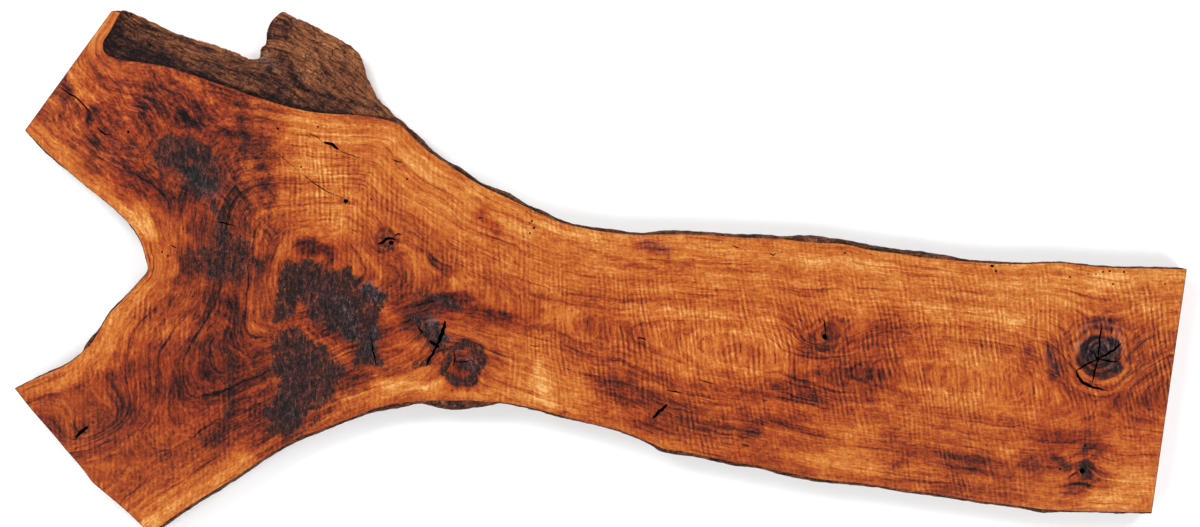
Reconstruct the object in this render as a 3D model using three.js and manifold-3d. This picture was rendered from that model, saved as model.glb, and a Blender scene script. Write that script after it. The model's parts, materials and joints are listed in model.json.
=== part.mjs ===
// A live-edge walnut slab, sawn lengthways through the fork of a tree and oiled on its top face.
// It is one piece of wood: the trunk's sawn end on the right, the two limbs' sawn ends on the left,
// thin dark bark ridges along its natural edges, and at the upper left a broad weathered wane with
// the broken stub of a third branch. All sizes are millimetres, +Z is up and the slab lies flat.
// Plan points are measured on a sheet, x from its left side and y from its lower side; the last
// lines move the slab so that the middle of its underside is the origin.
import * as THREE from "three";
import { mergeVertices } from "three/addons/utils/BufferGeometryUtils.js";
import Module from "manifold-3d";

const slabThickness = 55;
const sawnTaper = 45; // the bark's stand-out leans into line with a sawn end over this length
const ledgeDrop = 3; // the wane starts this far below the oiled face
const waneRound = 1.7; // how late across its width the wane turns down to its rim
const waneRunOut = 0.09; // share of the wane's length over which it turns into a plain side
const leftRunOut = 1.6; // how many times shorter that is at its left end
const rimTuck = 9; // the underside's edge lies this far inside the wane's rim
const tuckLimit = 0.6; // and at most this share of the wane's width
const crackTail = 0.18; // a crack's width and depth at its ends, as shares of the middle's
const crackLead = 0.1; // a crack starts this share of its swell in, at its wider end
const crackSteps = 7;
const bowlSides = [12, 8]; // sides of a hollow, around and down
const cutterRise = 4; // cutters start this far above the face that they open
const mergeReach = 1e-4; // corners nearer than this are one corner

// Spans along each stretch of the outline.
const spans = {
  lower: 96, trunkEnd: 6, upper: 74, wane: 72, shoulder: 3, upperLimbEnd: 5, fork: 42,
  lowerLimbEnd: 14,
};

// Natural edges: [x, y, how far the bark stands out beyond the oiled face].
const lowerEdge = [
  [300, 12, 4], [326, 32, 5], [360, 56, 5], [400, 82, 5], [434, 103, 6], [480, 132, 5],
  [540, 172, 5], [600, 206, 6], [640, 221, 5], [690, 240, 4], [736, 258, 5], [764, 267, 7],
  [800, 274, 9], [838, 278, 5], [866, 279, 13], [900, 279, 19], [940, 279, 17], [970, 277, 10],
  [1000, 276, 3], [1040, 270, 3], [1100, 255, 3], [1180, 234, 3], [1240, 219, 4], [1300, 195, 4],
  [1330, 182, 7], [1360, 178, 8], [1400, 170, 5], [1460, 157, 7], [1520, 147, 6], [1576, 134, 8],
  [1640, 122, 7], [1720, 114, 5], [1800, 102, 5], [1880, 91, 5], [1960, 78, 5], [2040, 68, 6],
  [2085, 62, 9], [2130, 59, 5], [2190, 57, 4], [2250, 56, 3], [2304, 56, 3],
];
const upperEdge = [
  [2374, 541, 2], [2330, 542, 3], [2290, 543, 3], [2230, 544, 3], [2160, 550, 3], [2120, 554, 3],
  [2060, 552, 3], [2000, 552, 4], [1940, 556, 4], [1890, 561, 8], [1840, 566, 10], [1800, 572, 8],
  [1740, 580, 10], [1690, 591, 9], [1640, 594, 13], [1600, 597, 12], [1570, 601, 5],
  [1530, 603, 7], [1480, 605, 5], [1400, 610, 8], [1320, 611, 7], [1280, 610, 3], [1230, 614, 6],
  [1180, 621, 4], [1120, 636, 4], [1080, 652, 9], [1050, 667, 6], [1010, 686, 11], [960, 710, 5],
  [920, 735, 7], [880, 761, 4], [840, 791, 9], [816, 816, 7],
];
const forkEdge = [
  [50, 820, 2], [70, 800, 3], [100, 770, 3], [140, 736, 3], [180, 702, 3], [228, 664, 3],
  [260, 632, 4], [280, 602, 4], [292, 566, 3], [296, 544, 2], [292, 530, 4], [280, 518, 3],
  [244, 478, 3], [220, 454, 3], [200, 420, 3], [189, 403, 8], [176, 386, 9], [166, 377, 2],
  [150, 362, 3], [124, 346, 3], [100, 335, 3], [66, 320, 3], [30, 302, 2],
];
const shoulderEdge = [[240, 1054, 6], [232, 1057, 4], [222, 1057, 2]];

// The wane between the oiled face and its weathered rim, right to left, as pairs of points:
// [face x, face y, rim x, rim y, rim height].
const waneStations = [
  [816, 816, 821, 821, 30], [802, 829, 806, 836, 30], [788, 836, 790, 847, 28],
  [768, 841, 776, 862, 24], [744, 846, 753, 886, 22], [716, 849, 738, 914, 24],
  [690, 851, 724, 952, 28], [664, 852, 717, 975, 30], [640, 854, 697, 992, 31],
  [616, 857, 660, 1013, 32], [594, 862, 616, 1036, 33], [576, 866, 584, 1049, 34],
  [562, 870, 562, 1058, 35], [550, 874, 543, 1044, 34], [540, 877, 531, 1020, 31],
  [528, 881, 528, 996, 27], [518, 884, 517, 985, 22], [506, 887, 514, 968, 18],
  [490, 893, 494, 965, 17], [466, 902, 474, 975, 18], [430, 914, 436, 989, 19],
  [382, 931, 380, 1006, 20], [330, 947, 336, 1020, 22], [280, 955, 312, 1033, 24],
  [236, 962, 294, 1043, 26], [210, 974, 276, 1050, 29], [206, 994, 262, 1055, 33],
  [220, 1018, 250, 1059, 38], [240, 1054, 239, 1060, 46],
];

// Sawn ends, each from one natural edge to the next.
const trunkEnd = [[2304, 56], [2374, 541]];
const upperLimbEnd = [[222, 1057], [50, 820]];
const lowerLimbEnd = [
  [30, 302], [60, 264], [100, 218], [132, 180], [168, 138], [184, 116], [200, 102], [250, 60],
  [300, 12],
];

// How far a natural side stands out, as a share of its bark, at each height share from top down.
const sideProfile = [
  [0, 1], [0.4, 0.975], [0.72, 0.9], [0.92, 0.78], [1, 0.62], [1, 0.44], [0.93, 0.25],
  [0.82, 0.1], [0.7, 0],
];
// The same count of levels across the wane: shares of the way to the rim, then under it.
const waneAcross = [0, 0.035, 0.2, 0.4, 0.6, 0.8, 1];
const waneUnder = [[0.5, 0.5], [1, 0]]; // [share of the tuck, share of the rim height]

// Drying cracks: [points, width, depth], narrow wedges that run out at both ends.
const cracks = [
  [[[116, 908], [140, 892], [160, 878], [184, 850]], 5, 20], // from the upper limb's end
  [[[194, 828], [206, 815], [220, 810]], 5, 14],
  [[[742, 402], [746, 380], [752, 352]], 5, 22], // in the black fork wood
  [[[874, 382], [860, 366], [852, 348]], 6, 16], // below the double hole
  [[[2196, 362], [2200, 396], [2204, 434]], 5, 18], // star in the great knot, up
  [[[2196, 362], [2220, 378], [2244, 394]], 6, 18], // star, up right
  [[[2196, 362], [2174, 352], [2154, 340]], 5, 16], // star, down left
  [[[2196, 362], [2190, 340], [2184, 318]], 5, 18], // star, down
  [[[2196, 362], [2216, 354], [2238, 354]], 5, 14], // star, right
  [[[2160, 326], [2180, 308], [2212, 298]], 9, 16], // gap under the great knot
];
// Open knots and holes: [x, y, long half-size, short half-size, turn in degrees, depth].
const hollows = [
  [2196, 362, 9, 7, 0, 24],
  [1650, 404, 8, 6, 80, 22],
  [889, 416, 16, 6, 75, 20],
  [873, 386, 10, 7, 20, 24],
  [772, 597, 15, 8, 30, 16],
  [162, 214, 16, 7, 45, 20],
  [1322, 260, 15, 5, 45, 16],
  [2166, 138, 9, 7, 60, 15],
  [660, 790, 9, 5, -25, 12],
  [586, 926, 18, 11, -50, 26], // in the weathered stub
];

const lerp = THREE.MathUtils.lerp;
const wasm = await Module();
wasm.setup();

// A smooth curve through points; a third number, where there is one, rides along as z.
function smoothLine(points) {
  const along = points.map(([x, y, extra = 0]) => new THREE.Vector3(x, y, extra));
  return new THREE.CatmullRomCurve3(along, false, "centripetal");
}

// The way a sawn end points as it passes its last point.
function runOut(points) {
  const [a, b] = points.slice(-2);
  return new THREE.Vector2(b[0] - a[0], b[1] - a[1]).normalize();
}

// Samples along a natural edge: where the face ends, and where the bark stands out to. At a sawn
// end the bark leans into the line of the cut.
function naturalEdge(points, segments, startLean, endLean) {
  const curve = smoothLine(points);
  const length = curve.getLength();
  return Array.from({ length: segments + 1 }, (_, i) => {
    const p = curve.getPointAt(i / segments);
    const t = curve.getTangentAt(i / segments);
    const out = new THREE.Vector2(t.y, -t.x).normalize();
    const fromStart = (i / segments) * length;
    const leanAt = (gap) => 1 - THREE.MathUtils.smoothstep(gap, 0, sawnTaper);
    if (startLean) out.lerp(startLean, leanAt(fromStart)).normalize();
    if (endLean) out.lerp(endLean, leanAt(length - fromStart)).normalize();
    const face = [p.x, p.y];
    const rim = [p.x + out.x * p.z, p.y + out.y * p.z];
    return sideColumn(face, rim);
  });
}

// One column of points down a natural side, from the face's edge to the underside.
function sideColumn(face, rim) {
  return sideProfile.map(([share, height]) => [
    lerp(face[0], rim[0], share),
    lerp(face[1], rim[1], share),
    height * slabThickness,
  ]);
}

// One column across the wane: a small ledge, a rounded fall to the rim, and back under it.
function waneColumn(fx, fy, rx, ry, rimHeight, depthShare) {
  const start = slabThickness - ledgeDrop * depthShare;
  const width = Math.hypot(rx - fx, ry - fy);
  const over = waneAcross.map((a) => [
    lerp(fx, rx, a),
    lerp(fy, ry, a),
    a === 0 ? slabThickness : lerp(start, rimHeight, a ** waneRound),
  ]);
  const tuck = Math.min(rimTuck, width * tuckLimit) / width;
  const under = waneUnder.map(([share, height]) => [
    lerp(rx, fx, tuck * share),
    lerp(ry, fy, tuck * share),
    rimHeight * height,
  ]);
  return [...over, ...under];
}

// The wane's columns, turning gently into a plain natural side at both ends.
function waneColumns(segments) {
  const face = smoothLine(waneStations.map(([x, y]) => [x, y]));
  const rim = smoothLine(waneStations.map(([, , x, y, z]) => [x, y, z]));
  return Array.from({ length: segments - 1 }, (_, i) => {
    const t = (i + 1) / segments;
    const f = face.getPoint(t);
    const r = rim.getPoint(t);
    const fromEnd = Math.min(t, (1 - t) * leftRunOut);
    const share = THREE.MathUtils.smoothstep(fromEnd, 0, waneRunOut);
    const plain = sideColumn([f.x, f.y], [r.x, r.y]);
    const wane = waneColumn(f.x, f.y, r.x, r.y, r.z, share);
    return plain.map((p, k) => p.map((v, axis) => lerp(v, wane[k][axis], share)));
  });
}

// Inner columns of a sawn end, which is square to the faces.
function sawnEnd(points, segments) {
  const curve = smoothLine(points);
  return Array.from({ length: segments - 1 }, (_, i) => {
    const p = curve.getPointAt((i + 1) / segments);
    return sideColumn([p.x, p.y], [p.x, p.y]);
  });
}

// The whole side of the slab, column by column, anticlockwise from the lower limb's end.
function sideColumns() {
  const reversed = (points) => [...points].reverse();
  return [
    ...naturalEdge(lowerEdge, spans.lower, runOut(lowerLimbEnd), runOut(reversed(trunkEnd))),
    ...sawnEnd(trunkEnd, spans.trunkEnd),
    ...naturalEdge(upperEdge, spans.upper, runOut(trunkEnd), null),
    ...waneColumns(spans.wane),
    ...naturalEdge(shoulderEdge, spans.shoulder, null, runOut(reversed(upperLimbEnd))),
    ...sawnEnd(upperLimbEnd, spans.upperLimbEnd),
    ...naturalEdge(forkEdge, spans.fork, runOut(upperLimbEnd), runOut(reversed(lowerLimbEnd))),
    ...sawnEnd(lowerLimbEnd, spans.lowerLimbEnd),
  ];
}

// A closed body from columns of points: the side as bands, the two faces as flat polygons.
function bodyFromColumns(columns) {
  const levels = columns[0].length;
  const count = columns.length;
  const index = [];
  for (let i = 0; i < count; i++) {
    const a = i * levels;
    const b = ((i + 1) % count) * levels;
    for (let k = 0; k < levels - 1; k++) {
      index.push(a + k, a + k + 1, b + k, b + k, a + k + 1, b + k + 1);
    }
  }
  for (const [level, turned] of [[0, false], [levels - 1, true]]) {
    const ring = columns.map((c) => new THREE.Vector2(c[level][0], c[level][1]));
    for (const [a, b, c] of THREE.ShapeUtils.triangulateShape(ring, [])) {
      const corners = [a, b, c].map((i) => i * levels + level);
      index.push(...(turned ? corners.reverse() : corners));
    }
  }
  const geometry = new THREE.BufferGeometry();
  geometry.setAttribute("position", new THREE.Float32BufferAttribute(columns.flat(2), 3));
  geometry.setIndex(index);
  return geometry;
}

// A closed geometry as a solid that can be cut and joined.
function solidOf(geometry) {
  const plain = geometry.clone();
  plain.deleteAttribute("normal");
  plain.deleteAttribute("uv");
  const merged = mergeVertices(plain, mergeReach);
  return new wasm.Manifold(
    new wasm.Mesh({
      numProp: 3,
      vertProperties: merged.attributes.position.array,
      triVerts: new Uint32Array(merged.index.array),
    }),
  );
}

// A crack's cutter: a wedge carried along its path, widest in the middle of its run.
function crackCutter(path, width, depth) {
  const curve = smoothLine(path);
  const rings = Array.from({ length: crackSteps + 1 }, (_, i) => {
    const t = i / crackSteps;
    const p = curve.getPointAt(t);
    const d = curve.getTangentAt(t);
    const open = lerp(crackTail, 1, Math.sin(Math.PI * lerp(crackLead, 1, t)));
    const half = (width / 2) * open;
    const top = slabThickness + cutterRise;
    return [
      [p.x - d.y * half, p.y + d.x * half, top],
      [p.x, p.y, slabThickness - depth * open],
      [p.x + d.y * half, p.y - d.x * half, top],
    ];
  });
  const index = [0, 1, 2];
  for (let i = 0; i < crackSteps; i++) {
    for (let k = 0; k < 3; k++) {
      const a = i * 3 + k;
      const b = i * 3 + ((k + 1) % 3);
      index.push(a, a + 3, b, b, a + 3, b + 3);
    }
  }
  const last = crackSteps * 3;
  index.push(last, last + 2, last + 1);
  const geometry = new THREE.BufferGeometry();
  geometry.setAttribute("position", new THREE.Float32BufferAttribute(rings.flat(2), 3));
  geometry.setIndex(index);
  return geometry;
}

// A hollow's cutter: a bowl sunk from the top.
function hollowCutter(x, y, long, short, turn, depth) {
  const bowl = new THREE.SphereGeometry(1, ...bowlSides);
  bowl.scale(long, short, depth + cutterRise);
  bowl.rotateZ(THREE.MathUtils.degToRad(turn));
  return bowl.translate(x, y, slabThickness + cutterRise / 2);
}

let wood = solidOf(bodyFromColumns(sideColumns()));
for (const [path, width, depth] of cracks) {
  wood = wood.subtract(solidOf(crackCutter(path, width, depth)));
}
for (const hollow of hollows) {
  wood = wood.subtract(solidOf(hollowCutter(...hollow)));
}

const cut = wood.getMesh();
const slabGeometry = new THREE.BufferGeometry();
slabGeometry.setAttribute("position", new THREE.BufferAttribute(cut.vertProperties, 3));
slabGeometry.setIndex(new THREE.BufferAttribute(cut.triVerts, 1));
slabGeometry.computeVertexNormals();
slabGeometry.computeBoundingBox();
const middle = slabGeometry.boundingBox.getCenter(new THREE.Vector3());
slabGeometry.translate(-middle.x, -middle.y, 0);

const oiledWalnut = new THREE.MeshStandardMaterial({
  color: new THREE.Color(0.47, 0.17, 0.05),
  roughness: 0.42,
  metalness: 0,
});
const slab = new THREE.Mesh(slabGeometry, oiledWalnut);
slab.name = "slab";

const part = new THREE.Group();
part.add(slab);

export default part;
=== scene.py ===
import json
import math

import bpy
import numpy as np
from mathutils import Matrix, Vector
from mathutils.geometry import delaunay_2d_cdt

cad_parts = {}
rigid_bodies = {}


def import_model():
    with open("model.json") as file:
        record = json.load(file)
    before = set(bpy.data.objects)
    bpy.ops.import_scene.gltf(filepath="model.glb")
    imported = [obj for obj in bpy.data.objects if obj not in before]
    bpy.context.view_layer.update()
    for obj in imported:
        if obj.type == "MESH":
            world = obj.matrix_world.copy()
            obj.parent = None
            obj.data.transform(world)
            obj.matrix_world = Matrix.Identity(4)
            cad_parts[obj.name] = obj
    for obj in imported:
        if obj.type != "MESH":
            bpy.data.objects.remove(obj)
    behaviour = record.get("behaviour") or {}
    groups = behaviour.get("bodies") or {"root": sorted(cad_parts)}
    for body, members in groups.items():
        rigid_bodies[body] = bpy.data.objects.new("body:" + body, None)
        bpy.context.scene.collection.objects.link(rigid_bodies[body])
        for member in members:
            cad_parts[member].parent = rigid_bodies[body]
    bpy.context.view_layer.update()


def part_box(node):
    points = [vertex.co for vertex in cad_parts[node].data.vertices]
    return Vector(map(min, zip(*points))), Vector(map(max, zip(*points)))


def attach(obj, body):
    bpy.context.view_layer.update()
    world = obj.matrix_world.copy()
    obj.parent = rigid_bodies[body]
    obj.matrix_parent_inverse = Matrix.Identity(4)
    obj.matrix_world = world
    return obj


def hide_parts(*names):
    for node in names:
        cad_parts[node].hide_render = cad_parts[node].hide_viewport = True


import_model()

print("frame loaded")

# Plan places are measured on a sheet in millimetres, x from its left and y from its lower side.
# Marks in the wood are placed by photo pixel: 2 mm each, counted down from the sheet's top.
mmPerPixel = 2.0
sheetTop = 1080.0

outline = {
    "thickness": 55.0,
    "columnStep": 5.0,        # spacing of the side's columns along the outline
    "levels": 27,             # points down each column
    "sawnTaper": 45.0,        # the bark leans into line with a sawn end over this length
    "chamfer": 1.4,           # broken arris of the sawn ends
    "rimTuck": 9.0,           # how far the wane's underside edge lies inside its rim
    "waneBlend": 0.09,        # share of the wane's length over which it turns into a plain side
    # natural edges: x, y, how far the bark stands out
    "lowerEdge": [
        (300, 12, 4), (326, 32, 5), (360, 56, 5), (400, 82, 5), (434, 103, 6), (480, 132, 5),
        (540, 172, 5), (600, 206, 6), (640, 221, 5), (690, 240, 4), (736, 258, 5), (764, 267, 7),
        (800, 274, 9), (838, 278, 5), (866, 279, 13), (900, 279, 19), (940, 279, 17), (970, 277, 10),
        (1000, 276, 3), (1040, 270, 3), (1100, 255, 3), (1180, 234, 3), (1240, 219, 4),
        (1300, 195, 4), (1330, 182, 7), (1360, 178, 8), (1400, 170, 5), (1460, 157, 7),
        (1520, 147, 6), (1576, 134, 8), (1640, 122, 7), (1720, 114, 5), (1800, 102, 5),
        (1880, 91, 5), (1960, 78, 5), (2040, 68, 6), (2085, 62, 9), (2130, 59, 5), (2190, 57, 4),
        (2250, 56, 3), (2304, 56, 3),
    ],
    "upperEdge": [
        (2374, 541, 2), (2330, 542, 3), (2290, 543, 3), (2230, 544, 3), (2160, 550, 3),
        (2120, 554, 3), (2060, 552, 3), (2000, 552, 4), (1940, 556, 4), (1890, 561, 8),
        (1840, 566, 10), (1800, 572, 8), (1740, 580, 10), (1690, 591, 9), (1640, 594, 13),
        (1600, 597, 12), (1570, 601, 5), (1530, 603, 7), (1480, 605, 5), (1400, 610, 8),
        (1320, 611, 7), (1280, 610, 3), (1230, 614, 6), (1180, 621, 4), (1120, 636, 4),
        (1080, 652, 9), (1050, 667, 6), (1010, 686, 11), (960, 710, 5), (920, 735, 7),
        (880, 761, 4), (840, 791, 9), (816, 816, 7),
    ],
    "forkEdge": [
        (50, 820, 2), (70, 800, 3), (100, 770, 3), (140, 736, 3), (180, 702, 3), (228, 664, 3),
        (260, 632, 4), (280, 602, 4), (292, 566, 3), (296, 544, 2), (292, 530, 4), (280, 518, 3),
        (244, 478, 3), (220, 454, 3), (200, 420, 3), (189, 403, 8), (176, 386, 9), (166, 377, 2),
        (150, 362, 3), (124, 346, 3), (100, 335, 3), (66, 320, 3), (30, 302, 2),
    ],
    "shoulderEdge": [(240, 1054, 6), (232, 1057, 4), (222, 1057, 2)],
    # the wane, right to left: face x, face y, rim x, rim y, rim height
    "waneStations": [
        (816, 816, 821, 821, 30), (802, 829, 806, 836, 30), (788, 836, 790, 847, 28),
        (768, 841, 776, 862, 24), (744, 846, 753, 886, 22), (716, 849, 738, 914, 24),
        (690, 851, 724, 952, 28), (664, 852, 717, 975, 30), (640, 854, 697, 992, 31),
        (616, 857, 660, 1013, 32), (594, 862, 616, 1036, 33), (576, 866, 584, 1049, 34),
        (562, 870, 562, 1058, 35), (550, 874, 543, 1044, 34), (540, 877, 531, 1020, 31),
        (528, 881, 528, 996, 27), (518, 884, 517, 985, 22), (506, 887, 514, 968, 18),
        (490, 893, 494, 965, 17), (466, 902, 474, 975, 18), (430, 914, 436, 989, 19),
        (382, 931, 380, 1006, 20), (330, 947, 336, 1020, 22), (280, 955, 312, 1033, 24),
        (236, 962, 294, 1043, 26), (210, 974, 276, 1050, 29), (206, 994, 262, 1055, 33),
        (220, 1018, 250, 1059, 38), (240, 1054, 239, 1060, 46),
    ],
    # sawn ends
    "trunkEnd": [(2304, 56), (2374, 541)],
    "upperLimbEnd": [(222, 1057), (50, 820)],
    "lowerLimbEnd": [
        (30, 302), (60, 264), (100, 218), (132, 180), (168, 138), (184, 116), (200, 102),
        (250, 60), (300, 12),
    ],
    # a natural side: share of the bark's stand-out, share of the height
    "sideProfile": [
        (0, 1), (0.4, 0.975), (0.72, 0.9), (0.92, 0.78), (1, 0.62), (1, 0.44), (0.93, 0.25),
        (0.82, 0.1), (0.7, 0),
    ],
}


# A smooth curve through points, as a centripetal Catmull-Rom spline: knots are the square roots
# of the chords, and each span is the cubic with the spline's tangents at its two ends.
def smoothLine(points, samples=12):
    p = np.array(points, float)
    p = np.vstack([2 * p[0] - p[1], p, 2 * p[-1] - p[-2]])
    chord = np.sqrt(np.linalg.norm(np.diff(p, axis=0), axis=1))[:, None]
    before, here, after = chord[:-2], chord[1:-1], chord[2:]
    a, b, c, d = p[:-3], p[1:-2], p[2:-1], p[3:]
    leave = ((b - a) / before - (c - a) / (before + here)) * here + c - b
    arrive = c - b - ((d - b) / (here + after) - (d - c) / after) * here
    t = np.linspace(0, 1, samples, endpoint=False)[:, None, None]
    span = (b + leave * t + (3 * (c - b) - 2 * leave - arrive) * t ** 2
            + (2 * (b - c) + leave + arrive) * t ** 3)
    dense = span.transpose(1, 0, 2).reshape(-1, p.shape[1])
    return np.vstack([dense, p[-2]])


# Length along a polyline, measured in plan.
def runLength(line):
    steps = np.linalg.norm(np.diff(line[:, :2], axis=0), axis=1)
    return np.concatenate([[0], np.cumsum(steps)])


# The same polyline with even spacing near the given step.
def evenly(line, step):
    run = runLength(line)
    at = np.linspace(0, run[-1], max(2, round(run[-1] / step) + 1))
    return np.stack([np.interp(at, run, column) for column in line.T], 1)


def smoothstep(x, low, high):
    t = np.clip((x - low) / (high - low), 0, 1)
    return t * t * (3 - 2 * t)


def unit(vectors):
    return vectors / np.maximum(np.linalg.norm(vectors, axis=-1, keepdims=True), 1e-9)


# Smooth random heights from 0 to 1: a table of random numbers at whole places, eased between.
def valueNoise(u, v, seed):
    table = np.random.default_rng(seed).random((256, 256))
    iu, iv = np.floor(u).astype(int), np.floor(v).astype(int)
    fu, fv = smoothstep(u - iu, 0, 1), smoothstep(v - iv, 0, 1)
    corner = lambda du, dv: table[(iu + du) % 256, (iv + dv) % 256]
    low = corner(0, 0) * (1 - fu) + corner(1, 0) * fu
    high = corner(0, 1) * (1 - fu) + corner(1, 1) * fu
    return low * (1 - fv) + high * fv


# Layers of the same noise, each twice as fine and half as strong, from -1 to 1.
def roughNoise(u, v, seed, layers=4):
    total = sum(2.0 ** -k * (2 * valueNoise(u * 2 ** k, v * 2 ** k, seed + k) - 1)
                for k in range(layers))
    return total / (2 - 2.0 ** (1 - layers))


# Distance from each point to a polyline, and the length along the line of the nearest place.
def nearestOn(points, line):
    start, along = line[:-1, :2], np.diff(line[:, :2], axis=0)
    square = np.maximum((along ** 2).sum(1), 1e-9)
    run = runLength(line)
    gap, place = np.empty(len(points)), np.empty(len(points))
    for lot in np.array_split(np.arange(len(points)), max(1, len(points) * len(start) // 4_000_000)):
        away = points[lot, None, :2] - start
        t = np.clip((away * along).sum(2) / square, 0, 1)
        far = np.linalg.norm(away - t[..., None] * along, axis=2)
        best = far.argmin(1)
        rows = np.arange(len(lot))
        gap[lot] = far[rows, best]
        place[lot] = run[best] + t[rows, best] * np.sqrt(square[best])
    return gap, place


# Whether each point lies inside a closed ring: an odd count of crossings to its left.
def insideRing(points, ring):
    a, b = ring[:, :2], np.roll(ring[:, :2], -1, axis=0)
    rise = np.where(np.abs(b[:, 1] - a[:, 1]) < 1e-9, 1e-9, b[:, 1] - a[:, 1])
    inside = np.empty(len(points), bool)
    for lot in np.array_split(np.arange(len(points)), max(1, len(points) * len(ring) // 4_000_000)):
        y = points[lot, None, 1]
        crossing = (a[:, 1] <= y) != (b[:, 1] <= y)
        left = a[:, 0] + (y - a[:, 1]) / rise * (b[:, 0] - a[:, 0]) < points[lot, None, 0]
        inside[lot] = (crossing & left).sum(1) % 2 == 1
    return inside


# The way a sawn end points where it passes its last point.
def runOut(points):
    a, b = np.array(points[-2:], float)[:, :2]
    return unit(b - a)


levelShare = np.linspace(0, 1, outline["levels"])
sideShape = smoothLine(outline["sideProfile"])
sideRun = runLength(sideShape * [8, outline["thickness"]])
sideOut = np.interp(levelShare * sideRun[-1], sideRun, sideShape[:, 0])
sideHeight = np.interp(levelShare * sideRun[-1], sideRun, sideShape[:, 1]) * outline["thickness"]


# Columns down a natural edge: each starts at the oiled face, swells out by the bark's stand-out
# and draws back towards the underside. The outward way leans into a sawn end where they meet.
def naturalColumns(points, startLean, endLean):
    line = evenly(smoothLine(points), outline["columnStep"])
    run = runLength(line)
    tangent = unit(np.gradient(line[:, :2], axis=0))
    out = np.stack([tangent[:, 1], -tangent[:, 0]], 1)
    for lean, gap in ((startLean, run), (endLean, run[-1] - run)):
        if lean is not None:
            share = (1 - smoothstep(gap, 0, outline["sawnTaper"]))[:, None]
            out = unit(out * (1 - share) + lean * share)
    plan = line[:, None, :2] + (out * line[:, 2:3])[:, None, :] * sideOut[:, None]
    height = np.broadcast_to(sideHeight, plan.shape[:2])
    return np.dstack([plan, height]), np.broadcast_to(out[:, None], plan.shape)


# Columns down the wane's rim: from the rim's height to the underside, tucked back under it.
def waneColumns(stations):
    fine = smoothLine(stations)
    even = evenly(fine[:, [2, 3, 0, 1, 4]], outline["columnStep"])[1:-1]
    rim, face, high = even[:, :2], even[:, 2:4], even[:, 4:5]
    share = np.linspace(0, 1, len(even) + 2)[1:-1, None]
    blend = smoothstep(np.minimum(share, (1 - share) * 1.6), 0, outline["waneBlend"])
    high = outline["thickness"] * (1 - blend) + high * blend
    inward = unit(face - rim)
    width = np.linalg.norm(face - rim, axis=1, keepdims=True)
    tuck = np.minimum(outline["rimTuck"], width * 0.6)
    swell = np.sin(np.pi * levelShare) * 2.2
    chipped = 4.2 * np.abs(roughNoise(runLength(rim) / 15, rim[:, 0] * 0, 23, 4))[:, None] * blend
    back = (levelShare ** 1.6 * tuck - swell * blend + chipped)[..., None] * inward[:, None]
    height = high * (1 - levelShare)
    return np.dstack([rim[:, None] + back, height]), np.broadcast_to(-inward[:, None], back.shape)


# Columns down a sawn end: square to the faces, with a small chamfer at the top arris.
def sawnColumns(points):
    line = evenly(smoothLine(points), outline["columnStep"])[1:-1]
    tangent = unit(np.gradient(line[:, :2], axis=0))
    out = np.stack([tangent[:, 1], -tangent[:, 0]], 1)
    drop = outline["chamfer"]
    inset = np.where(levelShare == 0, drop, 0)
    height = np.where(levelShare == 0, 1, 1 - levelShare) * outline["thickness"]
    height[1] = outline["thickness"] - drop
    plan = line[:, None, :2] - out[:, None] * inset[:, None]
    return np.dstack([plan, np.broadcast_to(height, plan.shape[:2])]), np.broadcast_to(
        out[:, None], plan.shape)


# The side's relief: long ridges and fissures of bark that run with the edge, faded out at the
# oiled arris and at the underside, as a distance outwards.
def barkRelief(columns, out, strength):
    run = runLength(columns[:, 0])[:, None]
    height = columns[..., 2]
    ridges = np.abs(roughNoise(run / 34, height / 9, 11, 3))
    scales = roughNoise(run / 13, height / 7, 31, 3)
    lumps = roughNoise(run / 60 + 7, height / 40, 51, 2)
    fade = smoothstep(levelShare, 0.0, 0.16) * (1 - 0.6 * smoothstep(levelShare, 0.85, 1))
    push = (1.6 * scales + 2.6 * (0.35 - ridges) + 1.8 * lumps) * fade * strength
    columns = columns.copy()
    columns[..., :2] += out * push[..., None]
    return columns


reverse = lambda points: points[::-1]
sides = {
    "lower": naturalColumns(outline["lowerEdge"], runOut(outline["lowerLimbEnd"]),
                            runOut(reverse(outline["trunkEnd"]))),
    "trunkEnd": sawnColumns(outline["trunkEnd"]),
    "upper": naturalColumns(outline["upperEdge"], runOut(outline["trunkEnd"]), None),
    "wane": waneColumns(outline["waneStations"]),
    "shoulder": naturalColumns(outline["shoulderEdge"], None,
                               runOut(reverse(outline["upperLimbEnd"]))),
    "upperLimbEnd": sawnColumns(outline["upperLimbEnd"]),
    "fork": naturalColumns(outline["forkEdge"], runOut(outline["upperLimbEnd"]),
                           runOut(reverse(outline["lowerLimbEnd"]))),
    "lowerLimbEnd": sawnColumns(outline["lowerLimbEnd"]),
}
barkStrength = {"lower": 1.0, "upper": 1.0, "wane": 0.9, "shoulder": 0.4, "fork": 0.8}
plain = np.vstack([columns for columns, _ in sides.values()])
sheetMiddle = (plain[..., :2].min((0, 1)) + plain[..., :2].max((0, 1))) / 2
band = np.vstack([barkRelief(columns, out, barkStrength[name]) if name in barkStrength else columns
                  for name, (columns, out) in sides.items()])
bandKind = np.concatenate([np.full(len(columns), list(sides).index(name))
                           for name, (columns, _) in sides.items()])
print("outline:", len(band), "columns, middle", sheetMiddle.round(2))

faceLine = evenly(smoothLine([s[:2] for s in outline["waneStations"]]), 4.0)
rimLine = smoothLine([s[2:] for s in outline["waneStations"]])
waneRing = np.vstack([faceLine, rimLine[::-1, :2]])

wane = {
    "ledge": 3.0,      # drop from the oiled face to the wane's start
    "step": 2.6,       # plan width of that drop
    "round": 1.7,      # how late the wane turns down to its rim
    "grain": -24.0,    # the weathered fibres' way in plan, degrees
    "stubGrain": -38.0,
}


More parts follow.
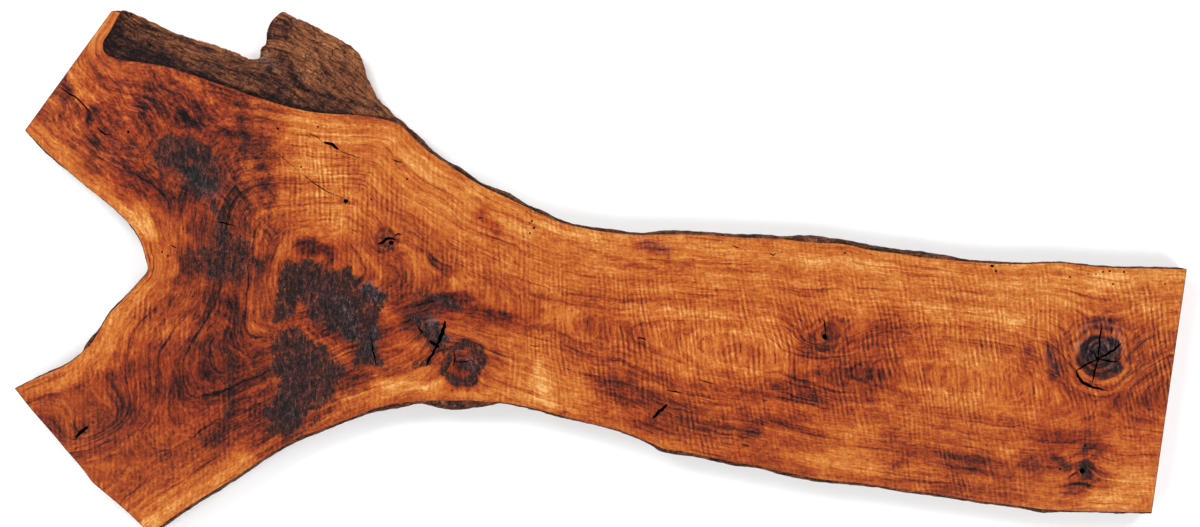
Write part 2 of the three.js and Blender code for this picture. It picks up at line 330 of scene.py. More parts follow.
# The wane's height above the underside: with a the share of the way from the face's line to the
# rim, it falls from the ledge to the rim's height as a to the power of its roundness, with ridges
# along its fibres.
def waneHeight(points):
    fromFace, _ = nearestOn(points, faceLine)
    fromRim, _ = nearestOn(points, rimLine)
    spot = np.argmin(((points[:, None, :2] - rimLine[None, ::4, :2]) ** 2).sum(2), 1)
    across = fromFace / np.maximum(fromFace + fromRim, 1e-6)
    rimHigh = rimLine[::4, 2][spot]
    start = outline["thickness"] - wane["ledge"]
    along, over = waneCoordinates(points)
    fibres = roughNoise(along / 46, over / 7, 71, 4)
    lumps = roughNoise(along / 60, over / 42, 91, 2)
    chips = roughNoise(along / 17, over / 10, 131, 3)
    depth = smoothstep(fromFace, 0, 8) * smoothstep(fromRim, 0, 4)
    relief = (2.0 * fibres - 1.6 * np.abs(fibres) + 2.4 * lumps + 1.1 * chips) * depth
    return start + (rimHigh - start) * across ** wane["round"] + relief


# Along and across the weathered fibres, turning from the limb's way into the stub's.
def waneCoordinates(points):
    share = smoothstep(points[:, 0], 470, 620)
    turn = np.radians(wane["grain"] * (1 - share) + wane["stubGrain"] * share)
    x, y = points[:, 0] - 520, points[:, 1] - 900
    return x * np.cos(turn) + y * np.sin(turn), y * np.cos(turn) - x * np.sin(turn)


lattice = {
    "coarse": 6.6,
    "fine": 4.4,
    "under": 26.0,
    # places where the figure needs a finer lattice: x, y, radius in photo pixels
    "fineSpots": [
        (195, 165, 48), (222, 255, 50), (320, 300, 62), (310, 385, 62), (430, 330, 46),
        (463, 362, 34), (1098, 358, 44), (825, 333, 22), (1075, 465, 26), (385, 242, 16),
        (232, 345, 30), (235, 395, 30), (135, 40, 40), (290, 60, 62), (200, 75, 40), (360, 100, 40),
    ],
}


def hexLattice(low, high, step):
    rows = np.arange(low[1], high[1], step * math.sqrt(0.75))
    places = np.arange(low[0], high[0], step)
    x, y = np.meshgrid(places, rows)
    x[1::2] += step / 2
    return np.stack([x.ravel(), y.ravel()], 1)


def onSheet(pixels):
    pixels = np.asarray(pixels, float)
    return np.stack([pixels[..., 0] * mmPerPixel, sheetTop - pixels[..., 1] * mmPerPixel], -1)


# Lattice points inside a ring, at least a little away from the lines that bound it.
def fillRing(ring, lines, step, spots=None, wanted=True):
    points = hexLattice(ring[:, :2].min(0), ring[:, :2].max(0), step)
    if spots is not None:
        centres = onSheet([s[:2] for s in spots])
        radii = np.array([s[2] for s in spots]) * mmPerPixel
        near = (np.linalg.norm(points[:, None] - centres, axis=2) < radii).any(1)
        points = points[near == wanted]
    points = points[insideRing(points, ring)]
    for line in lines:
        points = points[nearestOn(points, line)[0] > step * 0.55]
    return points


def closed(ring):
    return np.vstack([ring, ring[:1]])


# Joins points into triangles that keep the given edges, and returns the index triples of those
# that lie inside the ring and have an area.
def triangulate(points, edges, ring):
    made = delaunay_2d_cdt(points.tolist(), edges.tolist(), [], 0, 1e-6, True)
    source = np.array([ids[0] for ids in made[3]])
    faces = source[np.array(made[2])]
    a, b, c = points[faces].transpose(1, 0, 2)
    area = np.abs((b - a)[:, 0] * (c - a)[:, 1] - (b - a)[:, 1] * (c - a)[:, 0])
    faces = faces[area > 0.01]
    return faces[insideRing(points[faces].mean(1), ring)]


def ringEdges(count, first=0):
    index = np.arange(count) + first
    return np.stack([index, np.roll(index, -1)], 1)


def buildSlab():
    levels, count = outline["levels"], len(band)
    grid = np.arange(count * levels).reshape(count, levels)
    right = np.roll(grid, -1, axis=0)
    quads = np.stack([grid[:, :-1], grid[:, 1:], right[:, 1:], right[:, :-1]], -1)
    top, bottom = band[:, 0], band[:, -1]

    inner = faceLine[1:-1]
    stepDown = unit(np.gradient(faceLine[:, :2], axis=0))[1:-1]
    stepDown = inner + np.stack([stepDown[:, 1], -stepDown[:, 0]], 1) * wane["step"]
    stepDown = stepDown[insideRing(stepDown, waneRing)]
    stepDown = stepDown[nearestOn(stepDown, rimLine)[0] > 2]
    bounds = [closed(top), faceLine, stepDown]
    spots = lattice["fineSpots"]
    fill = [fillRing(top, bounds, lattice["coarse"], spots, False),
            fillRing(top, bounds, lattice["fine"], spots, True)]
    flat = np.vstack([top[:, :2], inner, stepDown, *fill])
    first = count + np.arange(len(inner))
    waneStart = np.flatnonzero(bandKind == list(sides).index("wane"))
    path = np.concatenate([[waneStart[0] - 1], first, [waneStart[-1] + 1]])
    edges = np.vstack([ringEdges(count), np.stack([path[:-1], path[1:]], 1)])
    topFaces = triangulate(flat, edges, top)
    height = np.full(len(flat), outline["thickness"])
    height[:count] = top[:, 2]
    low = np.zeros(len(flat), bool)
    low[count + len(inner):] = insideRing(flat[count + len(inner):], waneRing)
    height[low] = waneHeight(flat[low])

    under = fillRing(bottom, [closed(bottom)], lattice["under"])
    base = np.vstack([bottom[:, :2], under])
    baseFaces = triangulate(base, ringEdges(count), bottom)[:, ::-1]

    points = np.vstack([band.reshape(-1, 3), np.column_stack([flat, height])[count:],
                        np.column_stack([under, np.zeros(len(under))])])
    topIndex = np.concatenate([grid[:, 0], np.arange(len(flat) - count) + count * levels])
    baseIndex = np.concatenate([grid[:, -1], np.arange(len(under)) + count * levels
                                + len(flat) - count])
    middle = flat[topFaces].mean(1)
    return {
        "points": points,
        "quads": quads,
        "topFaces": topIndex[topFaces],
        "topWane": insideRing(middle, waneRing),
        "baseFaces": baseIndex[baseFaces],
    }


shape = buildSlab()
print("slab:", len(shape["points"]), "points", len(shape["topFaces"]), "face triangles")


def toFrame(points):
    shift = np.array([*sheetMiddle, 0])
    return (points - shift) / 1000


materialNames = ["oiledFace", "weatheredWane", "liveEdge", "sawnEnd", "sawnUnderside", "shadedCheck"]
materials = {name: bpy.data.materials.new(name) for name in materialNames}
sideMaterial = {"lower": "liveEdge", "trunkEnd": "sawnEnd", "upper": "liveEdge",
                "wane": "weatheredWane", "shoulder": "liveEdge", "upperLimbEnd": "sawnEnd",
                "fork": "liveEdge", "lowerLimbEnd": "sawnEnd"}


# Places for the bake: the faces as plans, the side unrolled in strips below them.
bakeMap = {
    "plan": 2400.0,         # millimetres across the whole map
    "strip": 1300.0,        # run of side in each strip
    "stripHigh": 0.034,
}


def planMap(points):
    return (points[:, :2] - plain[..., :2].min((0, 1)) + 15) / bakeMap["plan"] + [0, 0.54]


def makeSlabMesh():
    points = toFrame(shape["points"])
    low, high = np.array(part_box("slab")[0]), np.array(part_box("slab")[1])
    points = np.clip(points, low, high)
    quads = shape["quads"].reshape(-1, 4)
    faces = quads.tolist() + shape["topFaces"].tolist() + shape["baseFaces"].tolist()
    mesh = bpy.data.meshes.new("slabWood")
    mesh.from_pydata(points.tolist(), [], faces)
    for name in materialNames:
        mesh.materials.append(materials[name])
    number = materialNames.index
    sideKinds = np.array([number(sideMaterial[name]) for name in sides])[bandKind]
    perQuad = np.repeat(sideKinds, outline["levels"] - 1)
    topKind = np.where(shape["topWane"], number("weatheredWane"), number("oiledFace"))
    baseKind = np.full(len(shape["baseFaces"]), number("sawnUnderside"))
    mesh.polygons.foreach_set("material_index", np.concatenate([perQuad, topKind, baseKind]))

    run = runLength(closed(band[:, 0]))
    strips = np.minimum(run // bakeMap["strip"], run[-1] // bakeMap["strip"])
    share = np.linspace(0, 1, outline["levels"])
    u = np.stack([run[:-1], run[1:]], 1) - strips[:-1, None] * bakeMap["strip"]
    v = strips[:-1, None] * bakeMap["stripHigh"] * 1.15 + share * bakeMap["stripHigh"]
    quadMap = np.empty((len(band), outline["levels"] - 1, 4, 2))
    quadMap[..., 0] = (u[:, None, [0, 0, 1, 1]]) / bakeMap["plan"] * 1.7 + 0.01
    quadMap[..., 1] = np.stack([v[:, :-1], v[:, 1:], v[:, 1:], v[:, :-1]], -1) + 0.012
    plan = planMap(shape["points"])
    under = (plan - [0, 0.54]) * 0.6 + [0.0, 0.25]
    corners = np.concatenate([quadMap.reshape(-1, 2), plan[shape["topFaces"].ravel()],
                              under[shape["baseFaces"].ravel()]])
    layer = mesh.uv_layers.new(name="OFBake")
    layer.data.foreach_set("uv", corners.astype(np.float32).ravel())
    mesh.validate()
    return mesh


slabMesh = makeSlabMesh()
slab = bpy.data.objects.new("walnutSlab", slabMesh)
bpy.context.scene.collection.objects.link(slab)
print("slab mesh made")

# Open checks, slits, worm holes and knots: path in photo pixels, width and depth in millimetres.
openings = {
    "checks": [
        ([(58, 86), (70, 94), (80, 101), (92, 115)], 3.6, 20),
        ([(97, 126), (103, 133), (110, 135)], 3.2, 14),
        ([(371, 338), (373, 350), (376, 365)], 3.6, 22),
        ([(437, 346), (430, 358), (426, 367)], 6.0, 16),
        ([(445, 320), (444, 328), (441, 336), (437, 345)], 9.0, 22),
        ([(429, 340), (433, 343), (439, 347)], 7.0, 20), ([(418, 326), (421, 331), (424, 334)], 4.0, 9),
        ([(454, 352), (455, 359), (453, 366)], 3.6, 9), ([(453, 361), (462, 362), (472, 360)], 2.6, 7),
        ([(377, 244), (383, 242), (389, 238), (396, 240)], 7.0, 13),
        ([(1098, 359), (1100, 341), (1102, 323)], 4.2, 18),
        ([(1098, 359), (1110, 352), (1122, 343)], 5.0, 18),
        ([(1098, 359), (1087, 364), (1075, 371)], 4.2, 16),
        ([(1098, 359), (1095, 370), (1092, 383)], 4.2, 18),
        ([(1098, 359), (1108, 361), (1119, 362)], 4.0, 14),
        ([(1098, 359), (1093, 353), (1088, 349)], 3.0, 10),
        ([(1077, 374), (1082, 382), (1093, 387), (1108, 391)], 5.0, 16),
        ([(652, 419), (660, 411), (668, 404)], 7.0, 20),
        ([(75, 438), (82, 431), (89, 426)], 8.0, 20),
        ([(323, 142), (331, 144), (339, 150)], 7.0, 16),
        ([(306, 132), (312, 134), (323, 142)], 2.0, 6),
        ([(339, 150), (350, 155), (361, 158)], 2.2, 7),
        ([(265, 142), (282, 157), (300, 172)], 1.3, 6),
        ([(300, 172), (318, 186), (344, 199)], 2.2, 9),
        ([(392, 159), (397, 161), (403, 163)], 3.0, 8),
        ([(824, 318), (825, 326), (826, 334)], 3.6, 12),
        ([(636, 338), (641, 338), (647, 340)], 3.4, 8),
        ([(529, 345), (535, 346), (541, 346)], 2.4, 6),
        ([(666, 390), (673, 391), (681, 393)], 3.0, 8),
        ([(700, 380), (707, 382), (715, 384)], 2.6, 6),
        ([(742, 444), (746, 445), (750, 447)], 3.0, 6),
        ([(170, 245), (173, 246), (177, 248)], 3.0, 7),
        ([(394, 236), (398, 234), (402, 235)], 4.0, 10),
        ([(1076, 370), (1079, 378), (1086, 384), (1098, 389)], 7.0, 15),
        ([(74, 450), (76, 448), (78, 447)], 3.0, 8),
        ([(770, 252), (773, 255), (776, 252)], 3.0, 7),
        ([(732, 245), (736, 247), (740, 248)], 2.6, 6),
        ([(236, 226), (222, 223), (215, 221)], 3.4, 8),
        ([(1069, 477), (1073, 474), (1078, 472)], 3.0, 8),
        ([(352, 230), (356, 231), (357, 233)], 2.2, 5),
    ],
    "waneChecks": [
        ([(123, 14), (138, 18), (157, 23)], 6.2, 8),
        ([(183, 52), (200, 57), (219, 62)], 4.4, 6), ([(205, 70), (222, 74), (240, 80)], 4.1, 6),
        ([(140, 30), (158, 36), (172, 40)], 4.1, 6), ([(222, 58), (238, 62), (250, 66)], 4.4, 6),
        ([(292, 84), (302, 88), (312, 92)], 6.8, 8), ([(268, 74), (276, 80), (282, 86)], 5.8, 7),
        ([(312, 44), (318, 54), (322, 66)], 4.1, 6), ([(300, 26), (312, 32), (322, 36)], 3.7, 5),
        ([(318, 100), (334, 104), (352, 108)], 4.1, 6), ([(286, 96), (300, 100), (314, 104)], 4.4, 6),
        ([(129, 19), (132, 23), (135, 27)], 6.2, 9),
        ([(153, 30), (150, 38), (148, 50)], 5.8, 8),
        ([(291, 60), (290, 72), (296, 82)], 15.0, 16),
        ([(331, 86), (338, 89), (345, 94)], 7.5, 9),
        ([(338, 60), (345, 68), (354, 78)], 5.8, 8),
        ([(374, 102), (381, 109), (389, 116)], 6.8, 8),
        ([(302, 91), (304, 90), (306, 90)], 7.5, 9),
        ([(258, 90), (260, 91), (262, 91)], 6.8, 7),
        ([(170, 44), (178, 46), (186, 49)], 5.1, 6),
        ([(246, 94), (252, 93), (258, 96)], 6.2, 8),
        ([(262, 40), (260, 50), (259, 57)], 6.8, 8),
    ],
    # round holes: place in photo pixels, radius and depth in millimetres
    "holes": [
        ((1098, 359), 5.0, 24), ((825, 337), 6.0, 22), ((437, 346), 5.0, 24),
        ((391, 243), 5.0, 18), ((1083, 471), 6.0, 15), ((346, 201), 5.0, 10),
        ((992, 266), 3.4, 9), ((996, 271), 2.2, 7), ((1103, 272), 2.2, 7), ((1110, 271), 2.2, 7),
        ((1124, 272), 2.2, 7), ((1088, 274), 1.8, 6), ((1096, 274), 1.8, 6), ((1070, 277), 2.0, 6),
        ((532, 221), 2.4, 7), ((534, 228), 2.6, 7), ((530, 233), 2.2, 6), ((1113, 284), 2.2, 6),
        ((1165, 284), 1.8, 5), ((845, 253), 2.0, 6), ((278, 129), 2.6, 6), ((318, 127), 2.0, 5),
        ((162, 252), 2.2, 6), ((168, 256), 2.0, 6), ((128, 132), 3.0, 9), ((1060, 469), 2.6, 7),
        ((1085, 446), 2.6, 6), ((480, 218), 2.2, 5), ((301, 167), 2.0, 5), ((407, 179), 2.4, 6),
        ((371, 199), 1.8, 5),
    ],
}


# A wedge carried along a path: open at the top, closing to an edge at its depth, and narrowing
# to a point at both ends as the square root of the distance from the end.
# Known fault: its faces seem to point inward, and the cut leaves the wood's surface closed over it.
def wedgeCutter(path, width, depth, height, rise):
    line = evenly(smoothLine(onSheet(path)), 3.0)
    t = np.linspace(0, 1, len(line))[:, None]
    tangent = unit(np.gradient(line, axis=0))
    side = np.stack([-tangent[:, 1], tangent[:, 0]], 1)
    wander = (roughNoise(runLength(line) / 9, line[:, 0] * 0 + width, 5, 3))[:, None]
    swell = 0.12 + 0.88 * np.sqrt(np.sin(np.pi * np.clip(t, 0.0, 1.0)))
    half = width / 2 * swell
    line = line + side * wander * np.sin(np.pi * t) * 2.6
    half = half * (1 + 0.6 * rise / depth)
    above, below = height[:, None] + rise, height[:, None] - depth * swell
    rings = np.stack([np.hstack([line + side * half, above]), np.hstack([line, below]),
                      np.hstack([line - side * half, above])], 1)
    count = len(line)
    grid = np.arange(count * 3).reshape(count, 3)
    nextColumn = np.roll(grid, -1, axis=1)
    quads = np.stack([grid[:-1], nextColumn[:-1], nextColumn[1:], grid[1:]], -1).reshape(-1, 4)
    ends = [grid[0, ::-1].tolist(), grid[-1].tolist()]
    return rings.reshape(-1, 3), quads.tolist() + ends


# A round pit: rings of a half ellipse below the surface and a plug above it, slightly lumpy.
def pitCutter(place, radius, depth, height):
    around = np.linspace(0, 2 * np.pi, 14, endpoint=False)
    levels = np.array([(1.0, 3.0), (1.0, 0.0), (0.9, -0.35), (0.68, -0.7), (0.34, -0.93)])
    x, y = onSheet(place)
    lump = 1 + 0.45 * roughNoise(np.cos(around) * 1.3 + x, np.sin(around) * 1.3 + y, 17, 3)
    reach = levels[:, :1] * radius * lump
    drop = np.where(levels[:, 1] > 0, levels[:, 1], levels[:, 1] * depth)
    points = np.stack([x + reach * np.cos(around), y + reach * np.sin(around),
                       height + drop[:, None] + 0 * reach], -1).reshape(-1, 3)
    tip = [[x, y, height + 3.0], [x, y, height - depth]]
    count = len(around)
    grid = np.arange(len(levels) * count).reshape(len(levels), count)
    beside = np.roll(grid, -1, axis=1)
    quads = np.stack([grid[:-1], grid[1:], beside[1:], beside[:-1]], -1).reshape(-1, 4)
    cap = np.stack([grid[0], beside[0], np.full(count, len(points))], 1)
    floor = np.stack([beside[-1], grid[-1], np.full(count, len(points) + 1)], 1)
    return np.vstack([points, tip]), quads.tolist() + cap.tolist() + floor.tolist()


def topAt(points):
    height = np.full(len(points), outline["thickness"])
    low = insideRing(points, waneRing)
    if low.any():
        height[low] = waneHeight(points[low])
    return height


def cutOpenings():
    tools = bpy.data.collections.new("tools")
    bpy.context.scene.collection.children.link(tools)
    cutters = []
    for kind, rise in (("checks", 3.0), ("waneChecks", 9.0)):
        for path, width, depth in openings[kind]:
            line = evenly(smoothLine(onSheet(path)), 3.0)
            cutters.append(wedgeCutter(path, width, depth, topAt(line), rise))
    for place, radius, depth in openings["holes"]:
        cutters.append(pitCutter(place, radius, depth, topAt(onSheet([place]))[0]))
    for points, faces in cutters:
        mesh = bpy.data.meshes.new("tool")
        mesh.from_pydata(toFrame(points).tolist(), [], faces)
        mesh.materials.append(materials["shadedCheck"])
        tools.objects.link(bpy.data.objects.new("tool", mesh))
    cut = slab.modifiers.new("cut", "BOOLEAN")
    cut.operation, cut.solver = "DIFFERENCE", "MANIFOLD"
    cut.operand_type, cut.collection = "COLLECTION", tools
    cut.material_mode = "TRANSFER"
    ready = slab.evaluated_get(bpy.context.evaluated_depsgraph_get())
    mesh = bpy.data.meshes.new_from_object(ready)
    slab.modifiers.clear()
    old, slab.data = slab.data, mesh
    bpy.data.meshes.remove(old)
    for tool in list(tools.objects):
        spare = tool.data
        bpy.data.objects.remove(tool)
        bpy.data.meshes.remove(spare)
    bpy.data.collections.remove(tools)
    mesh.name = "slabWood"
    print("openings cut:", len(cutters), "tools,", len(mesh.vertices), "points,",
          len(mesh.polygons), "faces")
    return mesh


slabMesh = cutOpenings()

# The wood's figure. Strokes are painted one after another: path in photo pixels, half width in
# photo pixels, and the value that the field takes there. Tone runs from 0, black, to 1, pale gold.
# Small near-black strokes in the tone and black lists that lie over checks, holes and knot holes paint the
# shade in those openings; the knots' own wood is dark as well.
figure = {
    "tone": [
        ([(600, 350), (1150, 380)], 90, 0.56),
        ([(90, 110), (200, 130)], 70, 0.34),
        ([(80, 420), (240, 400)], 60, 0.34), ([(212, 150), (236, 205), (236, 262), (246, 330)], 32, 0.35),
        ([(172, 366), (226, 380), (238, 410)], 30, 0.27), ([(255, 345), (262, 400)], 16, 0.28),
        ([(300, 125), (400, 145), (440, 175), (500, 208), (560, 234), (640, 250), (760, 254),
          (900, 264), (1000, 277), (1180, 282)], 19, 0.70),
        ([(560, 262), (700, 275), (860, 288), (1000, 302), (1080, 300)], 15, 0.65),
        ([(310, 160), (330, 210)], 38, 0.63), ([(380, 170), (450, 195)], 28, 0.60),
        ([(400, 215), (470, 240), (560, 255)], 20, 0.56), ([(440, 265), (560, 280)], 22, 0.54),
        ([(660, 300), (760, 305)], 16, 0.60), ([(690, 335), (770, 335)], 24, 0.58),
        ([(920, 295), (1010, 330)], 26, 0.65), ([(1000, 365), (990, 400)], 18, 0.57),
        ([(890, 330), (905, 390)], 18, 0.42), ([(930, 360), (960, 380)], 16, 0.47),
        ([(800, 355), (870, 345), (880, 325)], 13, 0.37), ([(850, 372), (885, 375)], 13, 0.29),
        ([(795, 378), (845, 380)], 8, 0.31), ([(760, 388), (800, 394), (870, 398)], 10, 0.33),
        ([(750, 420), (790, 426)], 12, 0.29), ([(820, 410), (870, 415)], 12, 0.46),
        ([(600, 320), (620, 350)], 18, 0.42), ([(600, 372), (622, 398), (642, 402)], 14, 0.27),
        ([(645, 422), (700, 428), (745, 422)], 12, 0.38), ([(700, 380), (745, 388)], 10, 0.39),
        ([(660, 402), (690, 418)], 12, 0.33), ([(630, 350), (665, 375)], 16, 0.43),
        ([(560, 340), (590, 365)], 14, 0.45), ([(520, 384), (575, 392)], 11, 0.68),
        ([(541, 372), (546, 404)], 10, 0.80), ([(820, 440), (850, 440)], 11, 0.61),
        ([(826, 461), (852, 463)], 12, 0.76), ([(790, 458), (878, 468)], 8, 0.60),
        ([(884, 430), (888, 445)], 8, 0.37), ([(890, 466), (897, 464)], 8, 0.30),
        ([(905, 448), (950, 450)], 15, 0.43), ([(950, 462), (990, 465)], 15, 0.34),
        ([(1000, 470), (1010, 480)], 12, 0.38), ([(940, 488), (1000, 498)], 9, 0.37),
        ([(1020, 480), (1045, 490)], 10, 0.47), ([(1030, 464), (1052, 460)], 12, 0.30),
        ([(1045, 438), (1090, 440)], 11, 0.32), ([(1100, 440), (1102, 450)], 10, 0.33),
        ([(1118, 398), (1142, 400)], 13, 0.29), ([(1095, 420), (1150, 418)], 11, 0.41),
        ([(1115, 455), (1150, 450)], 12, 0.52), ([(1128, 484), (1150, 492)], 18, 0.67),
        ([(1090, 500), (1125, 502)], 10, 0.73), ([(1035, 496), (1062, 502)], 9, 0.55),
        ([(1140, 330), (1152, 390)], 14, 0.36), ([(1171, 335), (1166, 400)], 9, 0.40),
        ([(1150, 296), (1168, 318)], 12, 0.57), ([(1181, 285), (1176, 320)], 7, 0.60),
        ([(1058, 392), (1042, 410)], 12, 0.56), ([(1020, 345), (1012, 375)], 12, 0.56),
        ([(1090, 280), (1122, 284)], 9, 0.79), ([(1098, 358), (1099, 358)], 44, 0.42),
        ([(1070, 350), (1078, 372)], 5, 0.46), ([(1076, 330), (1098, 318), (1118, 326)], 6, 0.42),
        ([(1122, 345), (1126, 362), (1118, 380)], 6, 0.31), ([(1080, 393), (1100, 398)], 6, 0.46),
        ([(1099, 356), (1100, 357)], 21, 0.20), ([(1084, 374), (1098, 383)], 6, 0.10),
        ([(1104, 362), (1106, 374)], 6, 0.33),
        ([(1030, 352), (1033, 372)], 6, 0.38), ([(1050, 345), (1054, 376)], 5, 0.24),
        ([(1057, 340), (1060, 350)], 5, 0.40), ([(1060, 459), (1064, 464)], 8, 0.16),
        ([(1083, 470), (1086, 474)], 10, 0.15), ([(1085, 447), (1086, 449)], 5, 0.16),
        ([(1074, 484), (1082, 488)], 9, 0.30), ([(1092, 455), (1095, 490)], 3, 0.52),
        ([(825, 336), (825, 338)], 20, 0.42), ([(825, 334), (825, 342)], 9, 0.25),
        ([(826, 322), (826, 328)], 5, 0.28), ([(806, 330), (804, 342)], 4, 0.52),
        ([(600, 375), (640, 378)], 6, 0.33), ([(640, 338), (646, 340)], 7, 0.35),
        ([(480, 218), (492, 230)], 8, 0.40), ([(395, 185), (404, 190)], 8, 0.48),
        ([(648, 244), (662, 246)], 8, 0.47), ([(640, 258), (690, 262)], 3, 0.45),
        ([(620, 268), (700, 272)], 2.5, 0.45), ([(560, 242), (640, 268)], 2, 0.50),
        ([(455, 170), (466, 178)], 5, 0.55), ([(430, 158), (442, 165)], 4, 0.55),
        ([(430, 256), (442, 264)], 8, 0.55),
        ([(745, 438), (760, 432)], 7, 0.28), ([(755, 470), (700, 455)], 5, 0.42),
        ([(695, 288), (712, 292)], 9, 0.69), ([(895, 264), (915, 266)], 9, 0.74),
        ([(782, 244), (798, 246)], 8, 0.73), ([(1148, 326), (1154, 336)], 9, 0.44),
        ([(1096, 304), (1112, 306)], 7, 0.58), ([(640, 432), (700, 440), (760, 444), (810, 436)], 6, 0.47),
        ([(826, 470), (838, 471)], 6, 0.70), ([(958, 495), (1010, 497)], 6, 0.45),
        ([(524, 400), (538, 401)], 7, 0.69), ([(374, 401), (388, 401)], 6, 0.63),
        ([(300, 138), (340, 132), (380, 138)], 7, 0.62), ([(401, 183), (409, 188)], 7, 0.52),
        ([(552, 388), (568, 392)], 7, 0.55), ([(650, 318), (690, 330), (720, 346)], 10, 0.55),
        ([(560, 328), (578, 334)], 10, 0.49), ([(922, 388), (938, 392)], 9, 0.46),
        ([(408, 160), (440, 178), (454, 192)], 6, 0.69), ([(664, 293), (740, 295)], 5, 0.70),
        ([(738, 350), (756, 350)], 8, 0.62), ([(836, 370), (852, 370)], 6, 0.45),
        ([(772, 432), (840, 440)], 8, 0.55), ([(832, 468), (920, 474)], 6, 0.62),
        ([(1146, 320), (1154, 336)], 8, 0.50), ([(1056, 320), (1066, 330)], 8, 0.56),
        ([(1070, 396), (1090, 396)], 6, 0.52), ([(424, 378), (430, 378)], 6, 0.55),
        ([(480, 196), (532, 218)], 9, 0.61), ([(384, 246), (410, 258)], 8, 0.46),
        ([(508, 376), (522, 378)], 7, 0.50), ([(590, 304), (650, 342)], 10, 0.48),
        ([(642, 356), (662, 368)], 8, 0.46), ([(960, 268), (1090, 272)], 6, 0.64),
        # upper limb
        ([(90, 88), (122, 92)], 22, 0.45), ([(56, 96), (80, 94)], 12, 0.54),
        ([(76, 125), (76, 150)], 15, 0.48), ([(45, 124), (60, 152)], 10, 0.55),
        ([(113, 14), (100, 30), (86, 54), (74, 72)], 8, 0.62), ([(70, 70), (80, 74)], 8, 0.62),
        ([(28, 130), (50, 153), (76, 174), (105, 197), (130, 216)], 9, 0.61),
        ([(118, 205), (150, 216)], 9, 0.68), ([(143, 222), (150, 230)], 9, 0.78),
        ([(165, 222), (178, 214)], 9, 0.50), ([(100, 130), (90, 119)], 7, 0.27),
        ([(104, 142), (132, 152)], 12, 0.24), ([(150, 90), (154, 76)], 9, 0.30),
        ([(168, 76), (184, 88), (188, 102)], 10, 0.39), ([(210, 90), (222, 98)], 9, 0.31),
        ([(150, 110), (180, 116), (212, 120)], 13, 0.23), ([(122, 108), (132, 118)], 9, 0.38),
        ([(226, 116), (226, 124)], 7, 0.30), ([(128, 166), (150, 182)], 15, 0.27),
        ([(176, 150), (200, 178)], 27, 0.25), ([(116, 192), (124, 196)], 8, 0.42),
        ([(158, 195), (184, 198)], 7, 0.25), ([(165, 208), (186, 209)], 6, 0.37),
        ([(226, 134), (230, 140)], 8, 0.25), ([(240, 118), (244, 152)], 6, 0.15),
        ([(236, 98), (240, 102)], 7, 0.25), ([(254, 104), (262, 112)], 8, 0.48),
        ([(268, 122), (278, 130)], 8, 0.44), ([(257, 138), (262, 168)], 9, 0.24),
        ([(275, 160), (270, 186), (268, 202)], 7, 0.29), ([(254, 190), (256, 194)], 6, 0.40),
        ([(218, 164), (230, 176)], 10, 0.21),
        ([(192, 224), (206, 236)], 10, 0.20),
        ([(285, 150), (288, 156)], 9, 0.50), ([(286, 182), (290, 192)], 10, 0.46),
        ([(290, 214), (278, 226)], 10, 0.44), ([(250, 212), (250, 232)], 9, 0.26),
        ([(270, 232), (276, 236)], 8, 0.34), ([(240, 202), (226, 190)], 8, 0.19),
        ([(302, 242), (322, 252)], 9, 0.23), ([(345, 247), (384, 250)], 9, 0.40),
        ([(388, 252), (392, 254)], 8, 0.30), ([(380, 226), (384, 230)], 7, 0.38),
        ([(322, 168), (332, 182)], 12, 0.71), ([(300, 120), (306, 122)], 8, 0.69),
        # fork
        ([(150, 252), (150, 282)], 9, 0.58), ([(141, 294), (124, 322)], 10, 0.65),
        ([(166, 265), (168, 270)], 8, 0.52), ([(181, 262), (182, 292)], 6, 0.26),
        ([(168, 301), (174, 302)], 6, 0.35), ([(152, 314), (148, 320)], 8, 0.45),
        ([(165, 326), (168, 330)], 8, 0.51), ([(186, 318), (186, 326)], 7, 0.38),
        ([(196, 262), (244, 268)], 22, 0.27), ([(205, 300), (238, 312)], 15, 0.19),
        ([(204, 216), (222, 232)], 12, 0.24),
        ([(184, 268), (196, 274)], 8, 0.23), ([(256, 256), (264, 264)], 9, 0.23),
        ([(192, 318), (208, 324)], 9, 0.22), ([(240, 336), (250, 344)], 9, 0.19),
        ([(235, 318), (236, 326)], 7, 0.15), ([(232, 172), (240, 206)], 11, 0.22),
        ([(228, 212), (236, 222)], 8, 0.20), ([(246, 256), (256, 268)], 9, 0.24),
        ([(170, 284), (188, 288)], 7, 0.33), ([(240, 276), (246, 296)], 8, 0.26),
        ([(266, 320), (276, 346)], 8, 0.27), ([(240, 370), (246, 400)], 7, 0.20),
        ([(262, 150), (268, 172)], 8, 0.28), ([(184, 75), (196, 76)], 5, 0.30),
        ([(68, 108), (80, 116)], 7, 0.42), ([(55, 382), (76, 376)], 7, 0.66),
        ([(62, 450), (88, 432)], 8, 0.46), ([(224, 331), (228, 332)], 6, 0.14),
        ([(256, 290), (258, 332)], 6, 0.40), ([(268, 308), (266, 330)], 5, 0.31),
        ([(192, 342), (232, 346)], 9, 0.20), ([(284, 238), (276, 246)], 7, 0.36),
        # lower limb
        ([(20, 388), (56, 372), (92, 352), (122, 336)], 12, 0.62), ([(90, 372), (126, 356)], 8, 0.50),
        ([(58, 376), (66, 373)], 5, 0.68),
        ([(110, 320), (116, 326)], 8, 0.62), ([(131, 342), (146, 346)], 8, 0.44),
        ([(140, 366), (205, 360)], 11, 0.28), ([(98, 382), (150, 372)], 10, 0.32),
        ([(56, 402), (100, 391)], 9, 0.37), ([(40, 406), (48, 408)], 5, 0.33),
        ([(106, 420), (132, 414)], 14, 0.25), ([(68, 414), (78, 424)], 8, 0.38),
        ([(74, 434), (82, 430)], 6, 0.22), ([(168, 386), (212, 392)], 18, 0.22),
        ([(230, 366), (233, 400), (228, 426)], 8, 0.15), ([(246, 388), (246, 396)], 7, 0.21),
        ([(160, 424), (184, 424)], 14, 0.31), ([(108, 450), (186, 450)], 15, 0.36),
